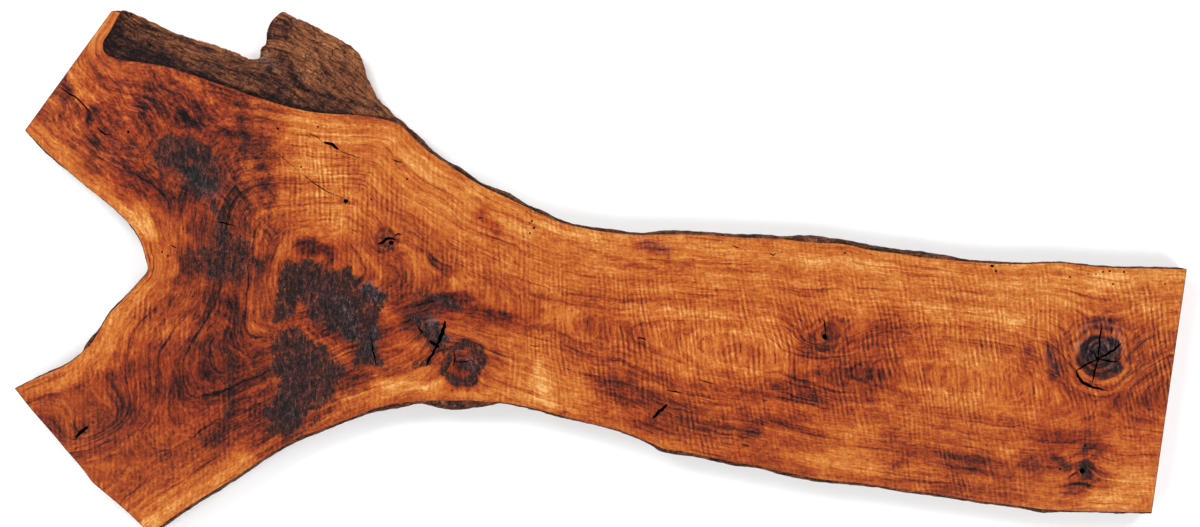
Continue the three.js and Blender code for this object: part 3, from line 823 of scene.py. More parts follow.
        ([(108, 482), (164, 474)], 13, 0.43), ([(222, 446), (242, 440)], 9, 0.37),
        ([(214, 434), (218, 436)], 7, 0.22), ([(250, 412), (254, 424)], 8, 0.30),
        ([(95, 470), (90, 462)], 8, 0.46), ([(150, 516), (180, 498), (212, 480), (242, 465)], 12, 0.66),
        ([(148, 524), (156, 520)], 8, 0.73), ([(262, 452), (288, 449)], 6, 0.45),
        # black fork wood and the burls beside it
        ([(300, 290), (340, 318), (370, 345)], 28, 0.29), ([(288, 350), (320, 380)], 22, 0.31),
        ([(284, 400), (288, 424)], 15, 0.27), ([(330, 378), (336, 390)], 12, 0.33),
        ([(312, 326), (332, 334)], 6, 0.25), ([(344, 376), (362, 374)], 7, 0.24),
        ([(350, 390), (356, 388)], 6, 0.34), ([(334, 404), (310, 421)], 5, 0.34),
        ([(345, 402), (372, 395)], 6, 0.60), ([(382, 386), (442, 386)], 9, 0.75),
        ([(396, 373), (432, 374)], 7, 0.52), ([(450, 393), (505, 392)], 6, 0.62),
        ([(384, 370), (390, 371)], 7, 0.42), ([(360, 284), (376, 276)], 8, 0.28),
        ([(364, 262), (380, 264)], 9, 0.45), ([(414, 260), (442, 268)], 10, 0.48),
        ([(418, 281), (442, 283)], 9, 0.32), ([(394, 275), (398, 280)], 8, 0.38),
        ([(400, 300), (442, 304)], 14, 0.24), ([(466, 312), (502, 318)], 9, 0.28),
        ([(516, 326), (524, 328)], 8, 0.42), ([(414, 320), (440, 336)], 16, 0.24),
        ([(460, 333), (492, 338)], 6, 0.46), ([(424, 354), (430, 358)], 8, 0.24),
        ([(404, 354), (408, 358)], 7, 0.30), ([(463, 362), (464, 363)], 23, 0.25),
        ([(494, 352), (498, 366)], 7, 0.40), ([(452, 298), (470, 296)], 7, 0.29),
    ],
    "waneTone": [
        ([(150, 35), (230, 62), (300, 90)], 26, 0.30), ([(300, 40), (340, 70), (370, 100)], 34, 0.37),
        ([(114, 26), (110, 48)], 12, 0.06), ([(128, 46), (152, 56)], 12, 0.06),
        ([(160, 58), (176, 64)], 8, 0.08), ([(124, 22), (132, 30)], 6, 0.16),
        ([(134, 15), (168, 29), (205, 41), (236, 51)], 4, 0.42),
        ([(186, 50), (228, 62)], 8, 0.33), ([(176, 68), (212, 80)], 7, 0.17),
        ([(240, 76), (270, 86), (300, 96), (350, 108)], 8, 0.22), ([(254, 78), (285, 90)], 7, 0.20),
        ([(322, 42), (346, 50)], 15, 0.40), ([(328, 76), (350, 84)], 12, 0.31),
        ([(300, 54), (310, 70)], 10, 0.36), ([(283, 60), (288, 76)], 6, 0.22),
        ([(270, 32), (286, 24)], 9, 0.24), ([(364, 100), (380, 110)], 6, 0.33),
        ([(254, 60), (266, 58)], 6, 0.36), ([(268, 22), (262, 44)], 4, 0.12),
        # Painted shade: a near-black line along the ledge where the oiled face steps down to the wane.
        ([(104, 52), (130, 60), (160, 66), (200, 78), (255, 95), (300, 108), (350, 116), (392, 121)],
         3.2, 0.05),
        # Painted shade: the thin dark lines from here to the list's end stand for the shade in the wane's
        # open cracks.
        ([(140, 24), (180, 38), (214, 52)], 2, 0.12), ([(196, 60), (240, 72), (262, 80)], 2.2, 0.14),
        ([(300, 88), (340, 100), (372, 108)], 2, 0.16),
        ([(294, 80), (300, 88)], 4, 0.12), ([(262, 92), (276, 96), (290, 100)], 2.5, 0.10),
        ([(268, 68), (276, 78), (284, 84)], 3, 0.12),
    ],
    # black fork wood: outlines in photo pixels, softness of the edge in photo pixels, value
    "blackPatches": [
        ([(156, 141), (165, 134), (177, 131), (189, 137), (202, 140), (212, 148), (219, 159), (221, 172),
          (222, 186), (216, 195), (206, 199), (192, 195), (182, 187), (177, 179), (165, 176),
          (156, 170), (151, 157)], 8, 0.76),
        ([(183, 258), (189, 248), (199, 241), (209, 243), (207, 228), (215, 218), (224, 220), (233, 227),
          (243, 237), (252, 241), (253, 253), (264, 255), (272, 264), (263, 275), (248, 271),
          (239, 285), (228, 281), (218, 279), (207, 284), (197, 277), (190, 268)], 7, 0.74),
        ([(273, 319), (275, 292), (281, 276), (285, 263), (296, 261), (308, 257), (317, 259), (325, 266),
          (337, 265), (348, 265), (354, 276), (358, 286), (370, 284), (379, 288), (385, 298),
          (387, 305), (379, 311), (376, 321), (378, 335), (378, 352), (383, 368), (370, 364),
          (358, 368), (353, 360), (355, 348), (351, 341), (341, 342), (336, 332), (327, 331),
          (314, 323), (304, 311), (298, 302), (296, 313), (288, 321), (278, 323)], 5, 0.90),
        ([(282, 327), (273, 340), (271, 352), (269, 368), (277, 378), (273, 393), (267, 405),
          (263, 419), (265, 433), (280, 433), (292, 438), (300, 430), (307, 419), (323, 409),
          (333, 401), (338, 389), (345, 376), (350, 368), (344, 362), (333, 356), (328, 346),
          (316, 340), (306, 332), (296, 324)], 8, 0.92),
    ],
    # Besides black fork wood, the strokes here that lie over checks, holes and knot holes paint the shade in
    # their openings.
    "black": [
        ([(190, 140), (201, 155), (205, 176), (201, 192)], 9, 0.92),
        ([(211, 203), (218, 212), (223, 222)], 6, 0.9), ([(228, 205), (234, 214)], 5, 0.5),
        ([(289, 266), (290, 302)], 8, 0.90), ([(341, 272), (352, 280)], 8, 0.9),
        ([(365, 290), (382, 298)], 7, 0.92), ([(366, 335), (373, 350), (378, 362)], 8, 0.95),
        ([(318, 278), (322, 300), (340, 318)], 9, 0.86), ([(270, 415), (285, 424)], 10, 0.9),
        ([(286, 395), (300, 390)], 9, 0.84), ([(322, 388), (334, 384)], 8, 0.84),
        ([(280, 352), (288, 342)], 8, 0.8), ([(300, 345), (318, 346)], 7, 0.45),
        ([(244, 154), (240, 138), (236, 122)], 4, 0.66), ([(205, 85), (228, 102), (237, 114)], 3, 0.5),
        ([(244, 160), (250, 170)], 5, 0.5), ([(262, 178), (268, 196)], 4, 0.45),
        ([(235, 314), (238, 325), (226, 332)], 5, 0.62), ([(214, 346), (232, 352)], 6, 0.55),
        ([(231, 364), (234, 395), (226, 414), (217, 430)], 6, 0.60),
        ([(318, 419), (302, 432)], 5, 0.6), ([(340, 398), (352, 392)], 5, 0.4),
        ([(405, 293), (420, 292)], 5, 0.6), ([(430, 297), (448, 303), (457, 308)], 6, 0.85),
        ([(414, 317), (425, 328), (430, 342)], 8, 0.88), ([(441, 328), (436, 346)], 8, 0.95),
        ([(432, 350), (425, 362), (410, 365)], 4, 0.75), ([(400, 330), (412, 332)], 4, 0.6),
        ([(463, 343), (478, 352), (482, 365), (474, 378), (460, 381), (447, 374), (444, 360),
          (452, 348), (463, 343)], 6, 0.8),
        ([(456, 362), (470, 367)], 6, 0.8), ([(1096, 352), (1106, 354)], 12, 0.40),
        ([(1083, 465), (1085, 477)], 6, 0.8), ([(600, 392), (626, 402)], 6, 0.42),
        ([(1054, 345), (1054, 374)], 3, 0.5), ([(1060, 458), (1066, 464)], 5, 0.6),
        ([(385, 236), (380, 243), (390, 247)], 6, 0.75), ([(825, 330), (825, 342)], 7, 0.6),
        ([(1085, 445), (1087, 449)], 4, 0.6), ([(660, 412), (654, 419)], 6, 0.5),
        ([(890, 465), (897, 464)], 5, 0.5), ([(745, 442), (741, 436)], 4, 0.45),
        ([(78, 436), (86, 430)], 6, 0.6),
    ],
    "red": [
        ([(640, 335), (860, 350)], 62, 0.35), ([(1030, 400), (1160, 430)], 42, 0.40),
        ([(110, 110), (205, 112)], 38, 0.8), ([(125, 178), (150, 184)], 22, 0.9),
        ([(300, 335), (330, 335)], 22, 0.7), ([(150, 385), (230, 395)], 40, 0.7),
        ([(750, 400), (790, 415)], 26, 0.55), ([(1050, 440), (1090, 445)], 18, 0.7),
        ([(455, 310), (505, 318)], 16, 0.7), ([(600, 395), (640, 410)], 22, 0.35),
        ([(480, 218), (492, 230)], 9, 0.6), ([(1115, 400), (1130, 405)], 18, 0.45),
        ([(310, 248), (330, 250)], 16, 0.7), ([(390, 310), (400, 345)], 18, 0.7),
        ([(225, 310), (230, 340)], 22, 0.5), ([(640, 430), (640, 440)], 14, 0.6),
        ([(740, 450), (744, 452)], 10, 0.6), ([(455, 372), (460, 374)], 16, 0.6),
        ([(160, 205), (195, 206)], 8, 0.5), ([(925, 345), (940, 365)], 16, 0.4),
        ([(700, 390), (730, 400)], 20, 0.4), ([(380, 250), (392, 254)], 10, 0.5),
    ],
    "ripple": [
        ([(560, 340), (1180, 360)], 80, 0.75), ([(300, 260), (560, 260)], 60, 0.55),
        ([(100, 110), (240, 150)], 60, 0.05), ([(60, 420), (240, 430)], 60, 0.45),
        ([(310, 165), (345, 205)], 32, 1.0), ([(380, 190), (390, 200)], 20, 0.8),
        ([(440, 262), (545, 282)], 20, 0.8), ([(640, 332), (780, 342)], 34, 1.0),
        ([(860, 350), (1060, 365)], 44, 1.0), ([(1146, 305), (1172, 385)], 18, 1.2),
        ([(600, 382), (642, 402)], 18, 0.8), ([(690, 430), (720, 440)], 18, 0.9),
        ([(140, 310), (172, 330)], 14, 1.0), ([(930, 470), (1000, 470)], 26, 0.7),
        ([(1098, 358), (1099, 358)], 28, 0.1), ([(560, 256), (760, 262)], 16, 0.25),
        ([(825, 336), (826, 336)], 14, 0.2), ([(420, 330), (470, 350)], 34, 0.1),
    ],
    "feather": [
        ([(80, 110), (150, 100), (200, 110)], 42, 1.0), ([(120, 160), (230, 180)], 34, 0.8),
        ([(255, 205), (262, 225)], 24, 0.8), ([(225, 315), (230, 330)], 20, 0.5),
        ([(330, 420), (350, 400)], 12, 0.6), ([(300, 340), (330, 350)], 24, 0.6),
    ],
    # grey: on the oiled face a cooler slate cast with painted highlights, the bluish glints; on the wane an
    # ashen grey of its own.
    "grey": [
        ([(645, 242), (668, 246)], 5, 0.15),
        ([(1090, 350), (1108, 348)], 12, 0.85), ([(1108, 362), (1114, 366)], 5, 0.8),
        ([(1050, 350), (1054, 372)], 4, 0.35),
        ([(1080, 330), (1098, 320), (1116, 328)], 5, 0.2),
        ([(192, 172), (210, 188)], 9, 0.8), ([(344, 308), (350, 335)], 8, 0.7),
        ([(366, 288), (378, 296)], 6, 0.9), ([(370, 330), (372, 350)], 6, 0.8),
        ([(434, 322), (442, 336)], 6, 0.9), ([(286, 408), (292, 416)], 6, 0.6),
        ([(470, 362), (478, 368)], 6, 0.6), ([(330, 300), (336, 310)], 8, 0.5),
        ([(262, 60), (270, 66)], 7, 0.5), ([(290, 70), (296, 78)], 5, 0.4),
    ],
    # a knot's own growth rings: middle and radius in photo pixels, half width, value
    "rings": [
        ((1099, 357), 6, 1.6, 0.24), ((1099, 357), 10, 1.5, 0.08), ((1100, 357), 13.5, 1.3, 0.30),
        ((1100, 357), 17, 1.6, 0.10), ((1100, 357), 21, 1.8, 0.13), ((1100, 357), 26, 3.2, 0.54),
        ((1100, 357), 31, 1.4, 0.30), ((1100, 358), 35, 1.5, 0.50), ((1100, 358), 38.5, 1.2, 0.32),
        ((1100, 358), 43, 1.2, 0.34), ((825, 337), 13, 1.4, 0.25), ((825, 337), 17, 1.2, 0.50),
        ((825, 337), 21, 1.2, 0.34), ((463, 362), 12, 1.4, 0.34), ((463, 362), 17, 1.5, 0.16),
        ((463, 362), 22, 1.6, 0.14), ((1083, 471), 9, 1.2, 0.22), ((1083, 471), 13, 1.1, 0.42),
        ((1083, 471), 17, 1.0, 0.28), ((385, 242), 11, 1.3, 0.26), ((385, 242), 15, 1.1, 0.44),
    ],
    # centres that the growth lines bend round: x, y, long and short reach in photo pixels,
    # turn in degrees, and how far they lift the growth coordinate in millimetres
    "centres": [
        (1098, 358, 36, 33, 0, 150), (825, 337, 32, 21, 0, 80), (463, 362, 24, 22, 0, 70),
        (95, 424, 78, 34, 27, 150), (192, 165, 58, 44, -40, 110), (433, 335, 22, 26, 0, 60),
        (385, 242, 14, 9, 0, 24), (1083, 470, 14, 12, 0, 30), (480, 217, 14, 9, 0, 14),
    ],
}


# Gap from each point to the nearest of a stroke's few straight pieces.
def strokeGap(points, line):
    points = points[:, :2]
    gap = np.full(len(points), np.inf)
    for start, end in zip(line[:-1], line[1:]):
        along = end - start
        t = np.clip(((points - start) @ along) / (along @ along), 0, 1)
        gap = np.minimum(gap, np.linalg.norm(points - start - t[:, None] * along, axis=1))
    return gap


# Paints strokes on a field: the field turns to a stroke's value by exp(-(gap / width) cubed).
def paintField(points, strokes, base):
    painted = np.full(len(points), float(base))
    for path, width, value in strokes:
        gap = strokeGap(points, onSheet(path)) / (width * mmPerPixel)
        painted += (value - painted) * np.exp(-gap ** 3)
    return painted


# Paints a knot's rings the same way, with the gap from each ring's circle.
def paintRings(points, rings, field):
    for place, radius, width, value in rings:
        away = np.linalg.norm(points - onSheet(place), axis=1) / mmPerPixel
        field = field + (value - field) * np.exp(-(np.abs(away - radius) / width) ** 3)
    return field


# Fills outlines on a field: the value rises through an outline's edge over twice its softness.
def fillPatches(points, patches, field):
    for path, soft, value in patches:
        ring = smoothLine(closed(onSheet(path)), 4)
        gap = nearestOn(points, ring)[0] * np.where(insideRing(points, ring), 1, -1)
        field = np.maximum(field, value * smoothstep(gap / mmPerPixel, -soft, soft))
    return field


# The growth coordinate: with D the smooth distance from the bark, the ring through a point has
# the radius sqrt((D0 - D)^2 + (z + depth of the pith)^2), lifted round knots and burls.
pith = {"inward": 330.0, "below": 60.0, "soften": 45.0}


def growthLines(points):
    natural = [smoothLine(outline["lowerEdge"], 3), smoothLine(outline["forkEdge"], 3),
               np.vstack([smoothLine(outline["upperEdge"], 3)[:, :2], faceLine[::4, :2]])]
    gaps = np.stack([nearestOn(points, line)[0] for line in natural])
    soft = pith["soften"]
    distance = -soft * np.log(np.exp(-gaps / soft).sum(0))
    ring = np.hypot(pith["inward"] - distance, points[:, 2] + pith["below"])
    for x, y, long, short, turn, lift in figure["centres"]:
        away = (points[:, :2] - onSheet((x, y))) / mmPerPixel
        c, s = math.cos(math.radians(turn)), math.sin(math.radians(turn))
        u, v = (away[:, 0] * c + away[:, 1] * s) / long, (away[:, 1] * c - away[:, 0] * s) / short
        ring += lift * np.exp(-np.sqrt(u * u + v * v + 0.03) * 1.1)
    return ring, gaps.min(0)


def addField(mesh, name, kind, values):
    layer = mesh.attributes.new(name, kind, "POINT")
    word = {"FLOAT": "value", "FLOAT_VECTOR": "vector", "FLOAT_COLOR": "color"}[kind]
    layer.data.foreach_set(word, np.ascontiguousarray(values, np.float32).ravel())


# The way of the grain in plan: along the trunk, and along each limb beside the fork.
def grainWay(points):
    x, y = points[:, 0], points[:, 1]
    limb = 1 - smoothstep(x, 380, 760)
    turn = limb * np.radians(np.where(y > 560, -36, 45) * smoothstep(np.abs(y - 560), 0, 120))
    return np.stack([np.cos(turn), np.sin(turn)], 1)


# Places moved before they are painted: far along the grain in thin layers, and a little all ways,
# so that no stroke keeps a round or a straight edge.
def raggedPlaces(points, ring, along, reach):
    shear = roughNoise(ring / 15, along / 170, 7, 3) + 0.4 * roughNoise(ring / 6, along / 60, 9, 2)
    x, y = points[:, 0] / 26, points[:, 1] / 26
    drift = np.stack([roughNoise(x, y, 13, 3), roughNoise(x, y, 19, 3)], 1)
    return points[:, :2] + grainWay(points) * (shear * reach)[:, None] + drift * 10


def paintSlab(mesh):
    points = np.empty(len(mesh.vertices) * 3)
    mesh.vertices.foreach_get("co", points)
    points = points.reshape(-1, 3) * 1000 + [*sheetMiddle, 0]
    ring = growthLines(points)[0]
    x, y = points[:, 0], points[:, 1]
    lean = smoothstep(x, 900, 1500) * 0.16
    along = x - 0.7 * smoothstep(x, 640, 300) * np.abs(y - 544)
    ripple = x + lean * (y - 420) + 10 * roughNoise(x / 130, y / 130, 3, 2)
    grain = np.stack([ring, along, ripple], 1)
    addField(mesh, "grain", "FLOAT_VECTOR", grain)

    top = points[:, 2] > outline["thickness"] - 50
    inWane = insideRing(points, waneRing) | (nearestOn(points, rimLine)[0] < 14)
    fields = {name: np.full(len(points), base) for name, base in
              (("tone", 0.5), ("black", 0.0), ("red", 0.0), ("ripple", 0.3), ("feather", 0.0),
               ("grey", 0.0))}
    loose = raggedPlaces(points[top], ring[top], along[top], 24.0)
    close = raggedPlaces(points[top], ring[top], along[top], 6.0)
    for name, field in fields.items():
        places = loose if name in ("tone", "red") else close
        field[top] = paintField(places, figure[name], field[0])
    fields["tone"][top] = paintRings(close, figure["rings"], fields["tone"][top])
    fields["black"][top] = fillPatches(close, figure["blackPatches"], fields["black"][top])
    addField(mesh, "tone", "FLOAT", fields["tone"])
    wornAndShaded = np.full(len(points), 0.30)
    left = x < 900
    wornAndShaded[left] = paintField(points[left], figure["waneTone"], 0.30)
    addField(mesh, "wornAndShaded", "FLOAT", wornAndShaded)
    addField(mesh, "marks", "FLOAT_COLOR", np.stack(
        [fields["black"], fields["red"], fields["feather"], fields["ripple"]], 1))
    addField(mesh, "grey", "FLOAT", fields["grey"])

    over, across = waneCoordinates(points)
    _, run = nearestOn(points, closed(band[::2, 0]))
    fibre = np.where(inWane[:, None], np.stack([over, across - points[:, 2], points[:, 2]], 1),
                     np.stack([run, points[:, 2] * 1.0 + 300, points[:, 2]], 1))
    addField(mesh, "fibre", "FLOAT_VECTOR", fibre)

    layer = mesh.uv_layers["OFBake"]
    corner = np.empty(len(mesh.loops), int)
    mesh.loops.foreach_get("vertex_index", corner)
    kinds = np.empty(len(mesh.polygons), int)
    mesh.polygons.foreach_get("material_index", kinds)
    sizes = np.empty(len(mesh.polygons), int)
    mesh.polygons.foreach_get("loop_total", sizes)
    uv = np.empty(len(mesh.loops) * 2)
    layer.data.foreach_get("uv", uv)
    uv = uv.reshape(-1, 2)
    names = [m.name for m in mesh.materials]
    fromAbove = np.isin(np.repeat(kinds, sizes), [names.index("oiledFace"), names.index("shadedCheck")])
    uv[fromAbove] = planMap(points)[corner[fromAbove]]
    layer.data.foreach_set("uv", uv.astype(np.float32).ravel())

    mesh.polygons.foreach_set("use_smooth", np.ones(len(mesh.polygons), bool))
    mesh.set_sharp_from_angle(angle=math.radians(38))


paintSlab(slabMesh)
print("figure painted")


# Node helpers: each adds one node to a tree and returns an output socket.
def addNode(tree, kind, inputs, **settings):
    made = tree.nodes.new("ShaderNode" + kind)
    for name, value in settings.items():
        setattr(made, name, value)
    for key, value in inputs.items():
        if isinstance(value, bpy.types.NodeSocket):
            tree.links.new(value, made.inputs[key])
        else:
            made.inputs[key].default_value = value
    return made


def calc(tree, operation, a, b=0.0, c=0.0, clamp=False):
    return addNode(tree, "Math", {0: a, 1: b, 2: c}, operation=operation, use_clamp=clamp).outputs[0]


def total(tree, *terms):
    made = terms[0]
    for term in terms[1:]:
        made = calc(tree, "ADD", made, term)
    return made


def mixColour(tree, share, a, b, kind="MIX"):
    return addNode(tree, "Mix", {0: share, 6: a, 7: b}, data_type="RGBA", blend_type=kind,
                   clamp_factor=True).outputs[2]


def easeBetween(tree, value, low, high, start=0.0, end=1.0):
    return addNode(tree, "MapRange", {0: value, 1: low, 2: high, 3: start, 4: end},
                   interpolation_type="SMOOTHSTEP").outputs[0]


def stretch(tree, place, x, y, z):
    return addNode(tree, "VectorMath", {0: place, 1: (x, y, z)}, operation="MULTIPLY").outputs[0]


def cloud(tree, place, scale, detail=2.0, rough=0.5, distortion=0.0):
    return addNode(tree, "TexNoise", {"Vector": place, "Scale": scale, "Detail": detail,
                                      "Roughness": rough, "Distortion": distortion}).outputs[0]


def centred(tree, value, strength):
    return calc(tree, "MULTIPLY", calc(tree, "SUBTRACT", value, 0.5), strength)


def colourRamp(tree, value, stops):
    made = addNode(tree, "ValToRGB", {0: value})
    points = made.color_ramp.elements
    while len(points) < len(stops):
        points.new(1.0)
    for point, (place, colour) in zip(points, stops):
        point.position, point.color = place, (*colour, 1)
    return made.outputs[0]


def field(tree, name, output="Fac"):
    return addNode(tree, "Attribute", {}, attribute_name=name).outputs[output]


def parts(tree, vector):
    return addNode(tree, "SeparateXYZ", {0: vector}).outputs


def objectPlace(tree):
    return addNode(tree, "TexCoord", {}).outputs["Object"]


# A node group with named inputs and outputs; sockets are (name, kind, value).
def makeGroup(name, inputs, outputs):
    group = bpy.data.node_groups.new(name, "ShaderNodeTree")
    for label, kind, *value in inputs:
        socket = group.interface.new_socket(label, in_out="INPUT", socket_type="NodeSocket" + kind)
        if value:
            socket.default_value = value[0]
    for label, kind in outputs:
        group.interface.new_socket(label, in_out="OUTPUT", socket_type="NodeSocket" + kind)
    return group, group.nodes.new("NodeGroupInput").outputs, group.nodes.new("NodeGroupOutput").inputs


def useGroup(tree, group, inputs):
    made = tree.nodes.new("ShaderNodeGroup")
    made.node_tree = group
    for key, value in inputs.items():
        if isinstance(value, bpy.types.NodeSocket):
            tree.links.new(value, made.inputs[key])
        else:
            made.inputs[key].default_value = value
    return made.outputs


# Streaks along the grain: broad bands, growth lines with sharp dark edges, fibres, and the short
# dark pores of walnut.
def makeGrainStreaks():
    tree, given, out = makeGroup("grainStreaks", [
        ("Grain", "Vector"), ("Bands", "Float", 0.1), ("Lines", "Float", 0.1),
        ("Fibres", "Float", 0.1)], [("Tone", "Float"), ("Pores", "Float"), ("Height", "Float")])
    place = objectPlace(tree)
    ring, along, _ = parts(tree, given["Grain"])
    ring = total(tree, ring, centred(tree, cloud(tree, place, 8.0, 2.0), 17.0),
                 centred(tree, cloud(tree, place, 45.0, 2.0), 5.0))
    flow = addNode(tree, "CombineXYZ", {0: ring, 1: along, 2: 0.0}).outputs[0]
    bands = cloud(tree, stretch(tree, flow, 1 / 30, 1 / 600, 1), 1.0, 2.0)
    lines = cloud(tree, stretch(tree, flow, 1 / 11, 1 / 300, 1), 1.0, 4.0, 0.7)
    edges = cloud(tree, stretch(tree, flow, 1 / 6.5, 1 / 190, 1), 1.0, 2.0, 0.5)
    fibres = cloud(tree, stretch(tree, flow, 1 / 3.6, 1 / 19, 1), 1.0, 3.0, 0.7)
    pores = cloud(tree, stretch(tree, flow, 1 / 3.2, 1 / 12, 1), 1.0, 2.0, 0.5)
    darkLines = easeBetween(tree, edges, 0.56, 0.70, 0.0, -0.7)
    tree.links.new(total(
        tree, calc(tree, "MULTIPLY", centred(tree, bands, 2.0), given["Bands"]),
        calc(tree, "MULTIPLY", total(tree, centred(tree, lines, 2.6), darkLines), given["Lines"]),
        calc(tree, "MULTIPLY", centred(tree, fibres, 2.6), given["Fibres"])), out["Tone"])
    tree.links.new(easeBetween(tree, pores, 0.62, 0.72), out["Pores"])
    tree.links.new(total(tree, centred(tree, fibres, 0.8), centred(tree, lines, 0.4)), out["Height"])
    return tree


# Ripple: narrow bands across the grain, a sine of the ripple coordinate whose phase wanders a
# little, broken into short lengths.
def makeRippleFigure():
    tree, given, out = makeGroup("rippleFigure", [
        ("Grain", "Vector"), ("Spacing", "Float", 11.0), ("Strength", "Float", 0.1)],
        [("Tone", "Float"), ("Height", "Float")])
    place = objectPlace(tree)
    _, _, ripple = parts(tree, given["Grain"])
    wander = total(tree, centred(tree, cloud(tree, place, 7.0, 1.0), 9.0),
                   centred(tree, cloud(tree, place, 60.0, 2.0), 4.2))
    phase = calc(tree, "ADD", calc(tree, "MULTIPLY", calc(tree, "DIVIDE", ripple, given["Spacing"]),
                                   2 * math.pi), wander)
    wave = calc(tree, "SINE", phase)
    lengths = easeBetween(tree, cloud(tree, stretch(tree, place, 30.0, 17.0, 1.0), 1.0, 2.0), 0.36, 0.62)
    sheet = addNode(tree, "CombineXYZ", {0: ripple, 1: calc(
        tree, "MULTIPLY", parts(tree, place)[1], 1000.0), 2: 0.0}).outputs[0]
    strands = cloud(tree, stretch(tree, sheet, 1 / 4.6, 1 / 44, 1), 1.0, 3.0, 0.6)
    band = total(tree, calc(tree, "MULTIPLY", wave, lengths), centred(tree, strands, 4.2))
    band = calc(tree, "MULTIPLY", band, given["Strength"])
    tree.links.new(band, out["Tone"])
    tree.links.new(band, out["Height"])
    return tree


# Feathered, swirling figure: short curved flames from strongly warped noise.
def makeFeatherFigure():
    tree, given, out = makeGroup("featherFigure", [("Strength", "Float", 1.0)], [("Tone", "Float")])
    place = objectPlace(tree)
    bend = addNode(tree, "TexNoise", {"Vector": place, "Scale": 10.0, "Detail": 3.0}).outputs["Color"]
    shift = addNode(tree, "VectorMath", {0: bend, 1: (0.075, 0.075, 0.0)}, operation="MULTIPLY").outputs[0]
    moved = addNode(tree, "VectorMath", {0: place, 1: shift}, operation="ADD").outputs[0]
    turned = addNode(tree, "Mapping", {"Vector": moved, "Rotation": (0, 0, math.radians(52))}).outputs[0]
    flames = cloud(tree, stretch(tree, turned, 1.0, 5.6, 1.0), 26.0, 5.0, 0.72)
    clumps = cloud(tree, moved, 30.0, 3.0, 0.65)
    made = total(tree, centred(tree, flames, 1.5), centred(tree, clumps, 0.5))
    tree.links.new(calc(tree, "MULTIPLY", made, given["Strength"]), out["Tone"])
    return tree


# Walnut's own colours by tone, from black fork wood to pale gold, with a redder cast.
def makeWalnutColour():
    tree, given, out = makeGroup("walnutColour", [("Tone", "Float", 0.5), ("Red", "Float", 0.0),
                                                  ("Grey", "Float", 0.0)], [("Color", "Color")])
    colour = colourRamp(tree, given["Tone"], [
        (0.0, (0.004, 0.003, 0.003)), (0.10, (0.019, 0.008, 0.007)), (0.20, (0.055, 0.013, 0.009)),
        (0.30, (0.128, 0.021, 0.010)), (0.40, (0.210, 0.033, 0.010)), (0.50, (0.290, 0.053, 0.013)),
        (0.60, (0.362, 0.085, 0.016)), (0.70, (0.430, 0.124, 0.022)), (0.82, (0.510, 0.190, 0.042)),
        (1.0, (0.650, 0.350, 0.120))])
    redder = mixColour(tree, calc(tree, "MULTIPLY", given["Red"], 0.5), colour, (1.0, 0.62, 0.62, 1),
                       "MULTIPLY")
    value = addNode(tree, "RGBToBW", {0: redder}).outputs[0]
    cool = mixColour(tree, 1.0, (0.95, 1.0, 1.12, 1), value, "MULTIPLY")
    tree.links.new(mixColour(tree, calc(tree, "MULTIPLY", given["Grey"], 0.6), redder, cool), out["Color"])
    return tree


grainStreaks, rippleFigure = makeGrainStreaks(), makeRippleFigure()
featherFigure, walnutColour = makeFeatherFigure(), makeWalnutColour()


def startMaterial(name, **sockets):
    material = materials[name]
    material.use_nodes = True
    tree = material.node_tree
    shader = tree.nodes["Principled BSDF"]
    for key, value in sockets.items():
        shader.inputs[key.replace("_", " ")].default_value = value
    return tree, shader


def bump(tree, height, distance, strength=1.0):
    return addNode(tree, "Bump", {"Strength": strength, "Distance": distance, "Height": height}).outputs[0]


